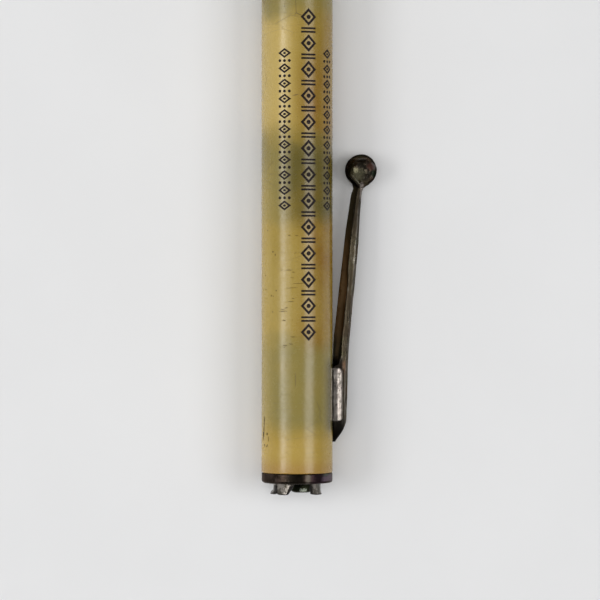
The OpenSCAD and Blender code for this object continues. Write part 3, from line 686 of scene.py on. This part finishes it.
class Print:
    """Thin ink marks on the barrel, drawn in mm: u round the barrel from its top, y along it."""

    LIFT, SINK = 0.012, 0.03

    def __init__(self):
        self.verts, self.faces = [], []

    def wrap(self, u, y, lift):
        return polar(BARREL_R + lift, u / BARREL_R, y)

    def patch(self, left, right, closed=False):
        """A ribbon between two lists of points, as a thin solid."""
        n, base = len(left), len(self.verts)
        for a, b in zip(left, right):
            for (u, y), r in ((a, self.LIFT), (b, self.LIFT), (b, -self.SINK), (a, -self.SINK)):
                self.verts.append(self.wrap(u, y, r))
        for i in range(n if closed else n - 1):
            a, b = base + 4 * i, base + 4 * ((i + 1) % n)
            for k in range(4):
                m = (k + 1) % 4
                self.faces.append([a + k, a + m, b + m, b + k])
        if not closed:
            self.faces.append([base, base + 1, base + 2, base + 3])
            e = base + 4 * (n - 1)
            self.faces.append([e + 3, e + 2, e + 1, e])

    def stroke(self, a, b, width):
        n = max(1, math.ceil(math.dist(a, b) / 0.2))
        du, dy = b[0] - a[0], b[1] - a[1]
        length = math.hypot(du, dy)
        ou, oy = -dy / length * width / 2, du / length * width / 2
        pts = [(a[0] + du * i / n, a[1] + dy * i / n) for i in range(n + 1)]
        self.patch([(u + ou, y + oy) for u, y in pts], [(u - ou, y - oy) for u, y in pts])

    def trail(self, pts, width):
        """A line through points that thins out at both ends."""
        fine = []
        for (u0, y0), (u1, y1) in zip(pts, pts[1:]):
            fine += [(u0 + (u1 - u0) * k / 4, y0 + (y1 - y0) * k / 4) for k in range(4)]
        fine.append(pts[-1])
        left, right = [], []
        for i, (u, y) in enumerate(fine):
            (ua, ya), (ub, yb) = fine[max(i - 1, 0)], fine[min(i + 1, len(fine) - 1)]
            d = math.hypot(ub - ua, yb - ya) or 1.0
            w = width / 2 * (0.25 + 0.75 * math.sin(math.pi * i / (len(fine) - 1)))
            ou, oy = -(yb - ya) / d * w, (ub - ua) / d * w
            left.append((u + ou, y + oy))
            right.append((u - ou, y - oy))
        self.patch(left, right)

    def lozenge(self, u, y, half_u, half_y, width):
        """An outlined lozenge, its sides cut short enough to follow the barrel."""
        corners = [(half_u, 0), (0, half_y), (-half_u, 0), (0, -half_y)]
        inner = 1 - width * math.hypot(half_u, half_y) / (half_u * half_y)
        loop = []
        for (u0, y0), (u1, y1) in zip(corners, corners[1:] + corners[:1]):
            loop += [(u0 + (u1 - u0) * k / 8, y0 + (y1 - y0) * k / 8) for k in range(8)]
        self.patch([(u + pu, y + py) for pu, py in loop],
                   [(u + pu * inner, y + py * inner) for pu, py in loop], closed=True)

    def blob(self, u, y, half_u, half_y):
        """A filled round spot."""
        n, rings = 20, 4
        out = [(half_u * math.cos(2 * math.pi * i / n), half_y * math.sin(2 * math.pi * i / n)) for i in range(n)]
        base = len(self.verts)
        self.verts.append(self.wrap(u, y, self.LIFT))
        for ring in range(1, rings + 1):
            self.verts += [self.wrap(u + du * ring / rings, y + dy * ring / rings, self.LIFT) for du, dy in out]
        self.verts += [self.wrap(u + du, y + dy, -self.SINK) for du, dy in out]
        for i in range(n):
            j = (i + 1) % n
            self.faces.append([base, base + 1 + i, base + 1 + j])
            for ring in range(rings):
                a, b = base + 1 + ring * n, base + 1 + (ring + 1) * n
                self.faces.append([a + i, b + i, b + j, a + j])
        last = base + 1 + rings * n
        self.faces.append([last + i for i in range(n)])


def ornament(turn, y0, y1, count, lozenge, dot, between):
    """A row of dotted lozenges along the barrel, at a turn in degrees from its top, and what stands between them."""
    u, pitch = math.radians(turn) * BARREL_R, (y1 - y0) / count
    for i in range(count):
        y = y0 + (i + 0.5) * pitch
        marks.lozenge(u, y, *lozenge)
        marks.blob(u, y, *dot)
        if i:
            between(u, y - 0.5 * pitch)


def two_bars(u, y):
    for off in (-0.24, 0.24):
        marks.stroke((u - 1.0, y + off), (u + 1.0, y + off), 0.25)


def three_dots(u, y):
    for off in (-0.66, 0, 0.66):
        marks.blob(u + off, y, 0.2, 0.2)


marks = Print()
ornament(18.8, 18.4, 63.6, 13, (1.08, 1.16, 0.3), (0.29, 0.29), two_bars)
for turn in (-20.5, 57.5):
    ornament(turn, 35.9, 58.1, 11, (0.92, 0.66, 0.24), (0.2, 0.16), three_dots)
build("barrel_print", marks.verts, marks.faces, "ink", "barrel")

# Hair cracks and nicks in the celluloid: mostly short ones across the tube, in the upper left of its top.
rng = random.Random(11)
nicks = Print()
nicks.LIFT, nicks.SINK = 0.004, 0.02
for i in range(20):
    u, y = rng.uniform(-2.6, -0.3), rng.uniform(17.0, 33.0)
    length = rng.choice((0.5, 0.8, 1.1, 1.9)) * rng.uniform(0.6, 1.2)
    bend = rng.uniform(-0.12, 0.12)
    pts = [(u + length * k / 8, y + bend * k / 8 + 0.05 * noise.noise(Vector((k * 0.9, i * 7.0, 0))))
           for k in range(9)]
    nicks.trail(pts, rng.uniform(0.045, 0.08))
for i in range(9):
    nicks.blob(rng.uniform(-5.2, -2.9), rng.uniform(24.0, 37.0), rng.uniform(0.04, 0.11), rng.uniform(0.05, 0.12))
crack_path = ((-5.38, 8.9), (-5.54, 8.2), (-5.66, 7.4), (-5.74, 6.6), (-5.88, 5.7))
for off in (-0.09, 0.09):                          # two ribbons side by side follow the barrel better than one
    nicks.trail([(u + off, y) for u, y in crack_path], 0.24)
nicks.trail([(-4.44, 6.3), (-4.36, 5.95), (-4.4, 5.6)], 0.1)
nicks.trail([(-4.55, 5.25), (-4.75, 4.98), (-5.0, 4.84)], 0.14)
for u, y, half_u, half_y in ((-4.74, 6.6, 0.13, 0.2), (-5.42, 5.1, 0.12, 0.13)):
    nicks.blob(u, y, half_u, half_y)
build("barrel_nicks", nicks.verts, nicks.faces, "crack", "barrel")

# -------- bracket with its two ears

EAR_FOOT, EAR_CORNER, PLATE_OUT, PLATE_T = 2.9, 0.55, 3.41, 0.3
CROWN_R = 5.15                                     # where the outer face stands out most
FACE_STEPS = 14
verts, faces, painted_shade = [], [], []
for s in (1, -1):
    # Denser rows at both ends, for the rounded corners.
    corner = [0.5 * (i / 8) ** 2 for i in range(9)]
    rows = sorted(set(along(EAR_Y0, EAR_Y1, 0.12) + [EAR_Y0 + c for c in corner] + [EAR_Y1 - c for c in corner]))
    section = []
    for y in rows:
        d = min(y - EAR_Y0, EAR_Y1 - y, EAR_CORNER)
        drop = EAR_CORNER - math.sqrt(max(0.0, EAR_CORNER ** 2 - (EAR_CORNER - d) ** 2))
        thin = 0.03 * (1 - smooth(d / 0.12))
        top = EAR_TOP - drop
        outer, inner = EAR_IN + EAR_T, EAR_IN
        path = []
        for i in range(FACE_STEPS + 1):            # outer face, slightly crowned
            r = EAR_FOOT + (top - 0.3 - EAR_FOOT) * i / FACE_STEPS
            rise = -0.215 * min(1.15, max(0.0, (CROWN_R - r) / 1.05))
            fall = -0.36 * max(0.0, r - CROWN_R) ** 2
            path.append((r, outer + rise + fall - thin))
        mid = path[-1]
        for i in range(1, 9):                      # rounded shoulder
            a = math.radians(90 - 90 * i / 8)
            path.append((mid[0] + 0.3 * math.cos(a), mid[1] - 0.22 + 0.22 * math.sin(a)))
        path += [(top, inner + 0.06 + thin), (top - 0.05, inner + 0.01 + thin)]
        path += [(top - 0.05 + (EAR_FOOT - top + 0.05) * i / 6, inner + thin) for i in range(1, 7)]
        section.append(path)
    base = len(verts)
    cols = len(section[0])
    for y, path in zip(rows, section):
        for r, n in path:
            bulge = lumps(r, y, s * 3.0, 0.9, 0.03, 5.0) if r > 4.4 and n > EAR_IN + 0.1 else 0.0
            verts.append(clip_point(r, s * (n + bulge), y))
    # The foot of the outer face, down in the slot, gets the painted shade material.
    painted_shade += [len(faces) + i * cols + j for i in range(len(rows) - 1) for j in range(FACE_STEPS)
              if section[i][j + 1][0] < BARREL_R - 0.1]
    faces += grid_faces(len(rows), cols, base=base)
    faces.append([base + j for j in range(cols)])
    faces.append([base + (len(rows) - 1) * cols + j for j in range(cols)][::-1])
base = len(verts)
mid_turn, half_turn, ARC = math.pi / 2 + ROLL, math.radians(33), 25
ring = [(PLATE_OUT, t) for t in np.linspace(mid_turn - half_turn, mid_turn + half_turn, ARC)]
ring += [(PLATE_OUT - PLATE_T, t) for t in np.linspace(mid_turn + half_turn, mid_turn - half_turn, ARC)]
for y in (EAR_Y0, EAR_Y1):
    verts += [polar(r, t, y) for r, t in ring]
faces += grid_faces(2, len(ring), base=base)
for b in (base, base + len(ring)):
    faces += [[b + j, b + j + 1, b + 2 * ARC - 2 - j, b + 2 * ARC - 1 - j] for j in range(ARC - 1)]
build("clip_bracket_ears", verts, faces, "nickel", "barrel", "nickel", ["clip_bracket"], painted_shade=painted_shade)

# -------- clip

SHEET = 0.34
ys = sorted(set(along(RINGS[0, 0], RINGS[-1, 0], 0.22) + [15.45, 15.75]))


def soften(values, width):
    k = np.exp(-np.linspace(-1.5, 1.5, width) ** 2)
    padded = np.pad(values, width // 2, mode="edge")
    return np.convolve(padded, k / k.sum(), mode="valid")[: len(values)]


backs = soften(np.interp(ys, RINGS[:, 0], RINGS[:, 1]), 5)
edges = np.interp(ys, RINGS[:, 0], RINGS[:, 2])
halves = soften(np.interp(ys, RINGS[:, 0], RINGS[:, 3]), 5)


def channel(back, edge, half, y):
    """The channel's section as one closed loop: outside over the back, round a rim, and inside again.
    Past the bracket the upper wall is cut a little shorter than the lower one."""
    shorter = 0.42 - 0.24 * smooth((y - 26.0) / 3.0) + 0.12 * smooth((y - 32.0) / 4.0)
    lift = smooth((y - EAR_Y1 - 0.5) / 1.4) * shorter
    c = min(0.62, 0.85 * half, 0.85 * (back - edge))
    crown = 0.05 * min(1.0, half)

    def wall(low, b, h, c):
        """One wall from its rim up, and the rounded corner to the back."""
        return ([(low + (b - c - low) * i / 7, h) for i in range(8)]
                + [(b - c + c * math.sin(math.radians(10 * i)), h - c + c * math.cos(math.radians(10 * i)))
                   for i in range(1, 10)])

    flat = half - c
    top = [(back + crown * (1 - (k / 4) ** 2) * min(1.0, flat / 0.4), flat * k / 4) for k in (3, 2, 1, 0)]
    outer = wall(edge + lift, back, half, c) + top
    outer += [(r, -n) for r, n in (wall(edge, back, half, c) + top[:-1])[::-1]]
    h, b = half - SHEET, back - SHEET
    ci = max(c - SHEET, 0.06)
    tin = [(b, (h - ci) * k / 4) for k in (3, 2, 1, 0)]
    inner = wall(edge + lift, b, h, ci) + tin + [(r, -n) for r, n in (wall(edge, b, h, ci) + tin[:-1])[::-1]]
    rim_a = [(edge - 0.07 * math.sin(math.pi * i / 4), -half + SHEET * i / 4) for i in (1, 2, 3)]
    rim_b = [(edge + lift - 0.07 * math.sin(math.pi * i / 4), half - SHEET + SHEET * i / 4) for i in (1, 2, 3)]
    return outer + rim_a + inner[::-1] + rim_b, len(outer)


verts = []
for y, back, edge, half in zip(ys, backs, edges, halves):
    loop, n_out = channel(back, edge, half, y)
    for r, n in loop:
        up = smooth((r - edge) / 0.5)
        dr = lumps(r * 0.8, y, n, 2.6, 0.05, 2.0) * up + lumps(r, y, n, 0.8, 0.016, 8.0) * up
        dn = lumps(r, y * 0.7, n, 2.0, 0.045, 4.0) * (1 if y > EAR_Y1 + 0.6 or y < EAR_Y0 - 0.4 else 0.0)
        if r < BARREL_R + 0.2:
            dr, dn = max(dr, 0.0), dn * 0.3
        if y > 38.6:
            dr, dn = dr * 0.3, dn * 0.3
        verts.append(clip_point(r + dr, n + dn, y))
cols = len(loop)
faces = grid_faces(len(ys), cols)
for base in (0, (len(ys) - 1) * cols):
    for k in range(n_out - 1):                     # end faces: the outside's points against the inside's
        a, b = base + k, base + k + 1
        faces.append([a, b, base + cols - 5 - k, base + cols - 4 - k])
    faces.append([base + k for k in range(n_out - 1, n_out + 4)])
    faces.append([base] + [base + cols - k for k in (4, 3, 2, 1)])
build("clip_channel", verts, faces, "clip", "clip", "bronze", ["clip"])

# -------- clip ball

NECK_Y = 39.45
neck_back = float(np.interp(NECK_Y, ys, backs)) + 0.05
neck_edge = float(np.interp(NECK_Y, ys, edges)) - 0.14
neck_half = float(np.interp(NECK_Y, ys, halves)) + 0.05
BALL_Y = BALL.y


def ball_point(theta, psi, r):
    """A point of the ball: theta from its free end towards the neck, psi round it, 0 away from the barrel."""
    return Vector((BALL_OFF + r * math.sin(theta) * math.cos(psi), r * math.sin(theta) * math.sin(psi),
                   BALL_Y + r * math.cos(theta)))      # radial, side, y


def hill(distance, width):
    return math.exp(-(distance / width) ** 2)


DENTS = (((-0.5, 1.75, 1.05), 0.45, 0.10), ((0.1, 2.1, 0.55), 0.35, 0.08), ((-0.9, 1.9, 0.2), 0.3, -0.03),
         ((0.55, 2.0, -0.1), 0.3, 0.07), ((1.4, 1.2, 0.9), 0.6, 0.08), ((0.9, -1.7, 0.4), 0.5, 0.07),
         ((-0.3, 1.95, -0.6), 0.32, 0.05))         # centre from the ball's own, width, depth


def ball_radius(theta, psi):
    p = ball_point(theta, psi, BALL_R) - Vector((BALL_OFF, 0, BALL_Y))
    r = BALL_R + lumps(*p, 1.1, 0.05, 3.0) + lumps(*p, 0.45, 0.02, 6.0)
    for centre, size, depth in DENTS:
        r -= depth * hill((p - Vector(centre)).length, size)
    # A curved crease on the far half, with a ridge inside it, and a groove with a ridge by the neck.
    off = p.normalized().angle(Vector((-0.22, 0.97, 0.05))) - 0.6
    r -= 0.075 * (hill(off, 0.06) - 0.6 * hill(off + 0.16, 0.07)) * smooth((p.z - 0.35) / 0.5)
    groove = 0.72 * (p.x * math.cos(ROLL) + p.y * math.sin(ROLL) + 1.5) + 0.69 * (p.z + 1.15)
    if p.y > 0 and p.z < -0.5:
        r -= (0.16 * hill(groove + 0.05, 0.16) - 0.05 * hill(groove - 0.44, 0.1)) * smooth(p.y / 0.5)
    # Two soft creases run from the neck over the ball, where the sheet was folded round.
    for side in (1, -1):
        off = math.atan2(p.y * side, -p.x) - 1.05
        r -= 0.10 * hill(off, 0.12) * smooth((theta - 1.75) / 0.5)
    return min(r, BALL_R + 0.03)


COLS, ROWS = 96, 64
THETA_RIM, COLLAR = math.radians(146), 0.75        # where the ball's round part ends, and the collar beyond it
GAP_HALF, GAP_END = math.radians(44), math.radians(118)   # the opening on the side that faces the barrel
outer_rows = []
for j in range(ROWS + 1):
    row = []
    for i in range(COLS):
        psi = 2 * math.pi * i / COLS
        off = abs(math.pi - psi)                   # 0 on the side that faces the barrel
        open_v = smooth((GAP_HALF - off) / GAP_HALF)
        end = (THETA_RIM + COLLAR) * (1 - open_v) + GAP_END * open_v
        t = end * j / ROWS
        if t <= THETA_RIM:
            p = ball_point(t, psi, ball_radius(t, psi))
        else:                                      # collar that narrows onto the clip's neck
            k = (t - THETA_RIM) / COLLAR
            start = ball_point(THETA_RIM, psi, ball_radius(THETA_RIM, psi))
            c, s = math.cos(psi), math.sin(psi)
            q = 1 / (abs(c) ** 4 + abs(s) ** 4) ** 0.25
            mid = (neck_back + neck_edge) / 2
            goal = Vector((mid + c * q * (neck_back - neck_edge) / 2, s * q * neck_half, NECK_Y))
            w = smooth(k) * 0.75 + 0.25 * k
            p = start * (1 - w) + goal * w
            p.z = start.z + (goal.z - start.z) * k
        row.append(p)
    outer_rows.append(row)
points = np.array([[tuple(p) for p in row] for row in outer_rows])
du = np.roll(points, -1, 1) - np.roll(points, 1, 1)
dv = np.gradient(points, axis=0)
normal = np.cross(du, dv)
normal[0] = (0, 0, -1)
normal /= np.linalg.norm(normal, axis=2, keepdims=True) + 1e-12
if (normal[ROWS // 2, 0] @ (points[ROWS // 2, 0] - np.array([BALL_OFF, 0, BALL_Y]))) > 0:
    normal = -normal
normal[0] = (0, 0, -1)
inside = points + normal * 0.3
verts = [clip_point(*p) for grid in (points, inside) for row in grid for p in row]
half_n = (ROWS + 1) * COLS
faces = grid_faces(ROWS + 1, COLS) + [f[::-1] for f in grid_faces(ROWS + 1, COLS, base=half_n)]
faces += ring_faces(COLS, ROWS * COLS, half_n + ROWS * COLS)
build("clip_ball_shell", verts, faces, "ball", "clip", "bronze", ["clip_ball"], sharp=55)

# -------- end ring

HOLE_R = 3.17
profile = arc(BARREL_R - 0.36, 0.36, 0.36, -90, 0, 8)
profile += [(BARREL_R, y) for y in (0.6, 0.8, 1.0)] + arc(BARREL_R - 0.13, RING_Y1 - 0.16, 0.13, 0, 90, 4)
profile += [(3.45, RING_Y1 - 0.01), (3.45, RING_Y1 + 1.7), (HOLE_R, RING_Y1 + 1.7), (HOLE_R, 0.12)]
profile += arc(HOLE_R + 0.12, 0.12, 0.12, 180, 270, 3)


def ring_shape(r, a, y):
    if r < 3.3:
        return r
    return r - 0.012 + round_lumps(a, y * 2.0, 1.6, 0.018, 7.0, r=4.75)


build("end_ring_turned", *lathe(profile, 192, ring_shape), "ring", "end_plug", "bronze", ["end_ring"])

# -------- tubes with prongs

ACROSS, NOTCH, DOWN = 16, 6, 12                    # columns of a prong and of a notch, rows of a prong


def pronged_tube(r_out, wall, y_root, prongs, body_steps, wave, rim=True):
    """A tube whose lower end is cut into prongs. Each prong has its root and its tip, from and to in degrees, its
    length, flare, lean and twist in mm, and how many of its columns get painted shade at the start and the end. With
    rim, the other end is closed between the outside and the inside. Returns points, faces, the numbers of the faces
    that get painted shade (the prongs' edges among them), and the number of points outside."""
    verts, faces, angles, painted_shade = [], [], [], []
    m, rows = len(prongs), len(body_steps)
    for k, p in enumerate(prongs):
        (a0, a1), nxt = p["root"], prongs[(k + 1) % m]["root"][0] + (360 if k == m - 1 else 0)
        angles += [a0 + (a1 - a0) * i / ACROSS for i in range(ACROSS)]
        angles += [a1 + (nxt - a1) * i / NOTCH for i in range(NOTCH)]
    cols = len(angles)
    layers = []
    for offset in (0.0, -wall):
        base = len(verts)
        for y in body_steps:
            for a in angles:
                t = math.radians(a)
                verts.append(polar(r_out + offset + wave(t, y), t, y))
        tips = {}
        for k, p in enumerate(prongs):
            for v in range(1, DOWN + 1):
                for i in range(ACROSS + 1):
                    f, s = v / DOWN, i / ACROSS
                    root = p["root"][0] + (p["root"][1] - p["root"][0]) * s
                    tip = p["tip"][0] + (p["tip"][1] - p["tip"][0]) * s
                    a = math.radians(root + (tip - root) * f ** 1.15)
                    corner = p.get("round", 0.12) * abs(2 * s - 1) ** 5
                    y = y_root - p["long"] * (f - corner * smooth(f * 1.6 - 0.6))
                    r = r_out + offset + wave(a, y) + p.get("lean", 0) * f * f
                    r += p.get("flare", 0) * smooth((f - 0.62) / 0.38)
                    r += p.get("twist", 0) * (s - 0.5) * f + round_lumps(a, y * 2, 0.7, 0.035, k * 3.0) * f
                    tips[k, v, i] = len(verts)
                    verts.append(polar(r, a, y))
            for i in range(ACROSS + 1):
                tips[k, 0, i] = base + (rows - 1) * cols + (k * (ACROSS + NOTCH) + i) % cols
        layers.append((base, tips))
    for side, (base, tips) in enumerate(layers):
        faces += grid_faces(rows, cols, base=base)
        for k in range(m):
            start, end = prongs[k].get("painted_shade", (0, 0))
            for v in range(DOWN):
                for i in range(ACROSS):
                    edge = i < start or i >= ACROSS - end or v == DOWN - 1
                    if side == 0 and prongs[k].get("painted_shade") and edge and v > 1:
                        painted_shade.append(len(faces))
                    quad = [tips[k, v, i], tips[k, v, i + 1], tips[k, v + 1, i + 1], tips[k, v + 1, i]]
                    faces.append(quad if side == 0 else quad[::-1])
    (base_o, tips_o), (base_i, tips_i) = layers
    if rim:
        faces += [[base_o + (j + 1) % cols, base_o + j, base_i + j, base_i + (j + 1) % cols] for j in range(cols)]
    low = (rows - 1) * cols
    floors = ring_faces(cols, base_o + low, base_i + low)
    faces += [f for j, f in enumerate(floors) if j % (ACROSS + NOTCH) >= ACROSS]    # floors of the notches
    edges_from = len(faces)

    def edge_face(a, b):
        faces.append([tips_o[a], tips_o[b], tips_i[b], tips_i[a]])

    for k in range(m):
        for i in range(ACROSS):
            edge_face((k, DOWN, i), (k, DOWN, i + 1))
        for v in range(DOWN):
            edge_face((k, v, 0), (k, v + 1, 0))
            edge_face((k, v + 1, ACROSS), (k, v, ACROSS))
    return verts, faces, painted_shade + list(range(edges_from, len(faces))), base_i


LONG = -CLAW_Y0 - 0.06


def cup_wave(t, y):
    """A ragged crimp at the root of the claws."""
    uneven = 0.7 + noise.noise(Vector((4 * math.sin(t), 4 * math.cos(t), 2.0)))
    return max(0.10 * hill(y - 0.02, 0.13) * uneven, 0.0) if y < 0.4 else 0.0


# Angles run from the pencil's top towards the clip.
claws = [
    {"root": (36, 112), "tip": (36, 108), "long": LONG, "flare": 0.12, "painted_shade": (1, 0)},
    {"root": (142, 196), "tip": (146, 193), "long": LONG, "lean": -0.02, "flare": 0.16, "twist": 0.05},
    {"root": (210, 230), "tip": (208, 228), "long": LONG * 0.97, "lean": 0.05, "flare": 0.16},
    {"root": (256, 292), "tip": (250, 300), "long": LONG * 0.985, "flare": 0.34, "twist": -0.5, "painted_shade": (0, 5)},
    {"root": (300, 353.5), "tip": (304, 337), "long": LONG, "lean": -0.08, "flare": 0.05, "twist": -0.2,
     "painted_shade": (1, 3)},
]
steps = list(np.linspace(CUP_Y1 - 0.12, 0.5, 8)) + [0.35, 0.22, 0.12, 0.05, 0.0, -0.06]
verts, faces, painted_shade, inner_base = pronged_tube(CUP_R, CUP_WALL, -0.06, claws, steps, cup_wave, rim=False)
# The cup's closed bottom: a disc on each side of it.
cols = len(claws) * (ACROSS + NOTCH)
for base, radius, y in ((0, CUP_R - 0.1, CUP_Y1), (inner_base, CUP_R - CUP_WALL - 0.05, CUP_Y1 - CUP_WALL)):
    start, ring = len(verts), verts[base:base + cols]
    for share in (1.0, 0.85, 0.5):
        for px, _, pz in ring:
            r = math.hypot(px, pz)
            verts.append((px / r * radius * share, y, pz / r * radius * share))
    verts.append((0, y, 0))
    hub, last = start + 3 * cols, start + 2 * cols
    faces += grid_faces(3, cols, base=start)
    faces += [[last + j, last + (j + 1) % cols, hub] for j in range(cols)]
    faces += ring_faces(cols, base, start)
build("eraser_cup_claws", verts, faces, "cup", "end_plug", "nickel", ["eraser_cup"], sharp=50, painted_shade=painted_shade)

# Friction sleeve: four spring fingers that point into the barrel. It is drawn mirrored, then turned round.
fingers = [{"root": (a + 5, a + 85), "tip": (a + 5, a + 85), "long": 3.35, "round": 0.04} for a in (0, 90, 180, 270)]
COLLAR_LONG = 2.0
verts, faces, _, _ = pronged_tube(BORE_R - 0.04, 0.25, 0, fingers, along(COLLAR_LONG, 0.0, -0.5),
                                  lambda t, y: -0.05 * smooth((0.2 - y) / 1.5) + 0.05 * smooth((-1.2 - y) / 1.0))
verts = [(x, RING_Y1 + 0.01 + COLLAR_LONG - y, z) for x, y, z in verts]
build("friction_sleeve_fingers", verts, faces, "brass", "end_plug", "brass", ["friction_sleeve"], sharp=50)

# -------- nose, guide, lead and front bushing

NOSE_R, BAND, FLUTES, TIP_R = BARREL_R - 0.05, 4.2, 24, 1.45
FLUTE_Y0, FLUTE_Y1 = NOSE_Y0 + 0.4, NOSE_Y0 + BAND - 0.4
SEAT_Y = NOSE_Y0 + 4.6


def nose_shape(r, a, y):
    if r > NOSE_R - 0.02 and FLUTE_Y0 < y < FLUTE_Y1:
        inside = smooth((y - FLUTE_Y0) / 0.35) * smooth((FLUTE_Y1 - y) / 0.35)
        return r - 0.2 * inside * (0.5 + 0.5 * math.cos(a * FLUTES)) ** 1.6
    if r < TIP_R + 0.01 and y < NOSE_Y1 - 0.5:
        return r
    return r + round_lumps(a, y, 2.4, 0.01, 1.0)


profile = [(2.52, SPIGOT_Y0), (2.9, SPIGOT_Y0), (2.9, NOSE_Y0 - 0.03), (NOSE_R - 0.2, NOSE_Y0 - 0.03)]
profile += arc(NOSE_R - 0.17, NOSE_Y0 + 0.14, 0.17, -90, 0, 5)
profile += [(NOSE_R, y) for y in along(NOSE_Y0 + 0.35, NOSE_Y0 + BAND - 0.2, 0.1)]
profile += arc(NOSE_R - 0.14, NOSE_Y0 + BAND, 0.14, 0, 80, 5)
profile += [(NOSE_R - 0.32, NOSE_Y0 + BAND + 0.2), (NOSE_R - 0.34, NOSE_Y0 + BAND + 0.42)]
t0, t1 = NOSE_Y0 + BAND + 0.7, NOSE_Y1 - 0.3
profile += [(NOSE_R - 0.26, t0 - 0.16)]
profile += [(NOSE_R - 0.12 + (TIP_R - NOSE_R + 0.12) * t ** 1.25, t0 + (t1 - t0) * t) for t in along(0.0, 1.0, 1 / 60)]
profile += arc(TIP_R - 0.16, NOSE_Y1 - 0.16, 0.16, 10, 90, 5)
profile += [(1.02, NOSE_Y1), (1.02, GUIDE_Y0), (1.45, GUIDE_Y0), (1.45, SEAT_Y), (2.52, SEAT_Y)]
build("nose_cone_turned", *lathe(profile, 384, nose_shape), "nose", "nose", "bronze", ["nose_cone"])
bore = LEAD_R + 0.06
profile = [(bore, GUIDE_Y0 + 0.01), (1.0, GUIDE_Y0 + 0.01)] + [(1.0, y) for y in along(NOSE_Y1, GUIDE_Y1 - 0.62, 0.3)]
profile += arc(0.75, GUIDE_Y1 - 0.5, 0.25, 0, 60, 4) + arc(0.78, GUIDE_Y1 - 0.1, 0.1, 20, 90, 4) + [(bore, GUIDE_Y1)]
build("lead_guide_tube", *lathe(profile, 96), "nickel", "nose", "nickel", ["lead_guide"])
point = 1.6
profile = [(0.0001, LEAD_Y0), (LEAD_R, LEAD_Y0), (LEAD_R, LEAD_Y1 - point - 2.0)]
profile += [(LEAD_R, y) for y in along(LEAD_Y1 - point - 1.8, LEAD_Y1 - point - 0.1, 0.2)]
profile += [(LEAD_R * (1 - 0.68 * (i / 10) ** 1.1), LEAD_Y1 - point + (point - 0.06) * i / 10) for i in range(11)]
profile += [(LEAD_R * 0.2, LEAD_Y1 - 0.01), (0.0001, LEAD_Y1)]


def worn_point(r, a, y):
    return r * (1 + round_lumps(a, y * 2, 1.0, 0.05, r=3) * (y > LEAD_Y1 - 1.7))


build("lead_stick", *lathe(profile, 64, worn_point), "graphite", "carrier", "graphite", ["lead"])
profile = [(2.95, BUSH_Y0), (BORE_R - 0.02, BUSH_Y0), (BORE_R - 0.02, BARREL_Y1)]
profile += arc(BARREL_R - 0.25, BARREL_Y1 + 0.26, 0.25, -90, 0)
profile += arc(BARREL_R - 0.25, NOSE_Y0 - 0.36, 0.25, 0, 90) + [(2.95, NOSE_Y0 - 0.1)]
build("front_bushing_ring", *lathe(profile, 160), "vulcanite", "barrel", "vulcanite", ["front_bushing"])

# -------- CAD nodes that stay as they are

slots = {s["node"]: s["material_slot"] for s in frame["record"]["subparts"]}
for name, ob in frame["nodes"].items():
    if ob.hide_render:
        continue
    ob.data.materials.clear()
    ob.data.materials.append(mats[slots[name]])

# -------- floor

floor_mesh = bpy.data.meshes.new("table")
SPAN, UNDER = 1.6, 0.00001                         # half width, and gap under the pencil, in metres
floor_mesh.from_pydata([(x * SPAN, y * SPAN, FLOOR_Z * MM - UNDER) for x, y in ((-1, -1), (1, -1), (1, 1), (-1, 1))],
                       [], [[0, 1, 2, 3]])
table = bpy.data.objects.new("table", floor_mesh)
scene.collection.objects.link(table)
paper = Graph("table_paper")
tone = paper.noise(0.05, 4.0, 0.5)
paper.set(Base_Color=paper.mix(paper.step(tone, 0.3, 0.7), (0.80, 0.80, 0.803), (0.815, 0.815, 0.818)),
          Roughness=0.85, Normal=paper.bump(paper.noise(4.0, 4.0, 0.6), 0.004))
floor_mesh.materials.append(paper.mat)
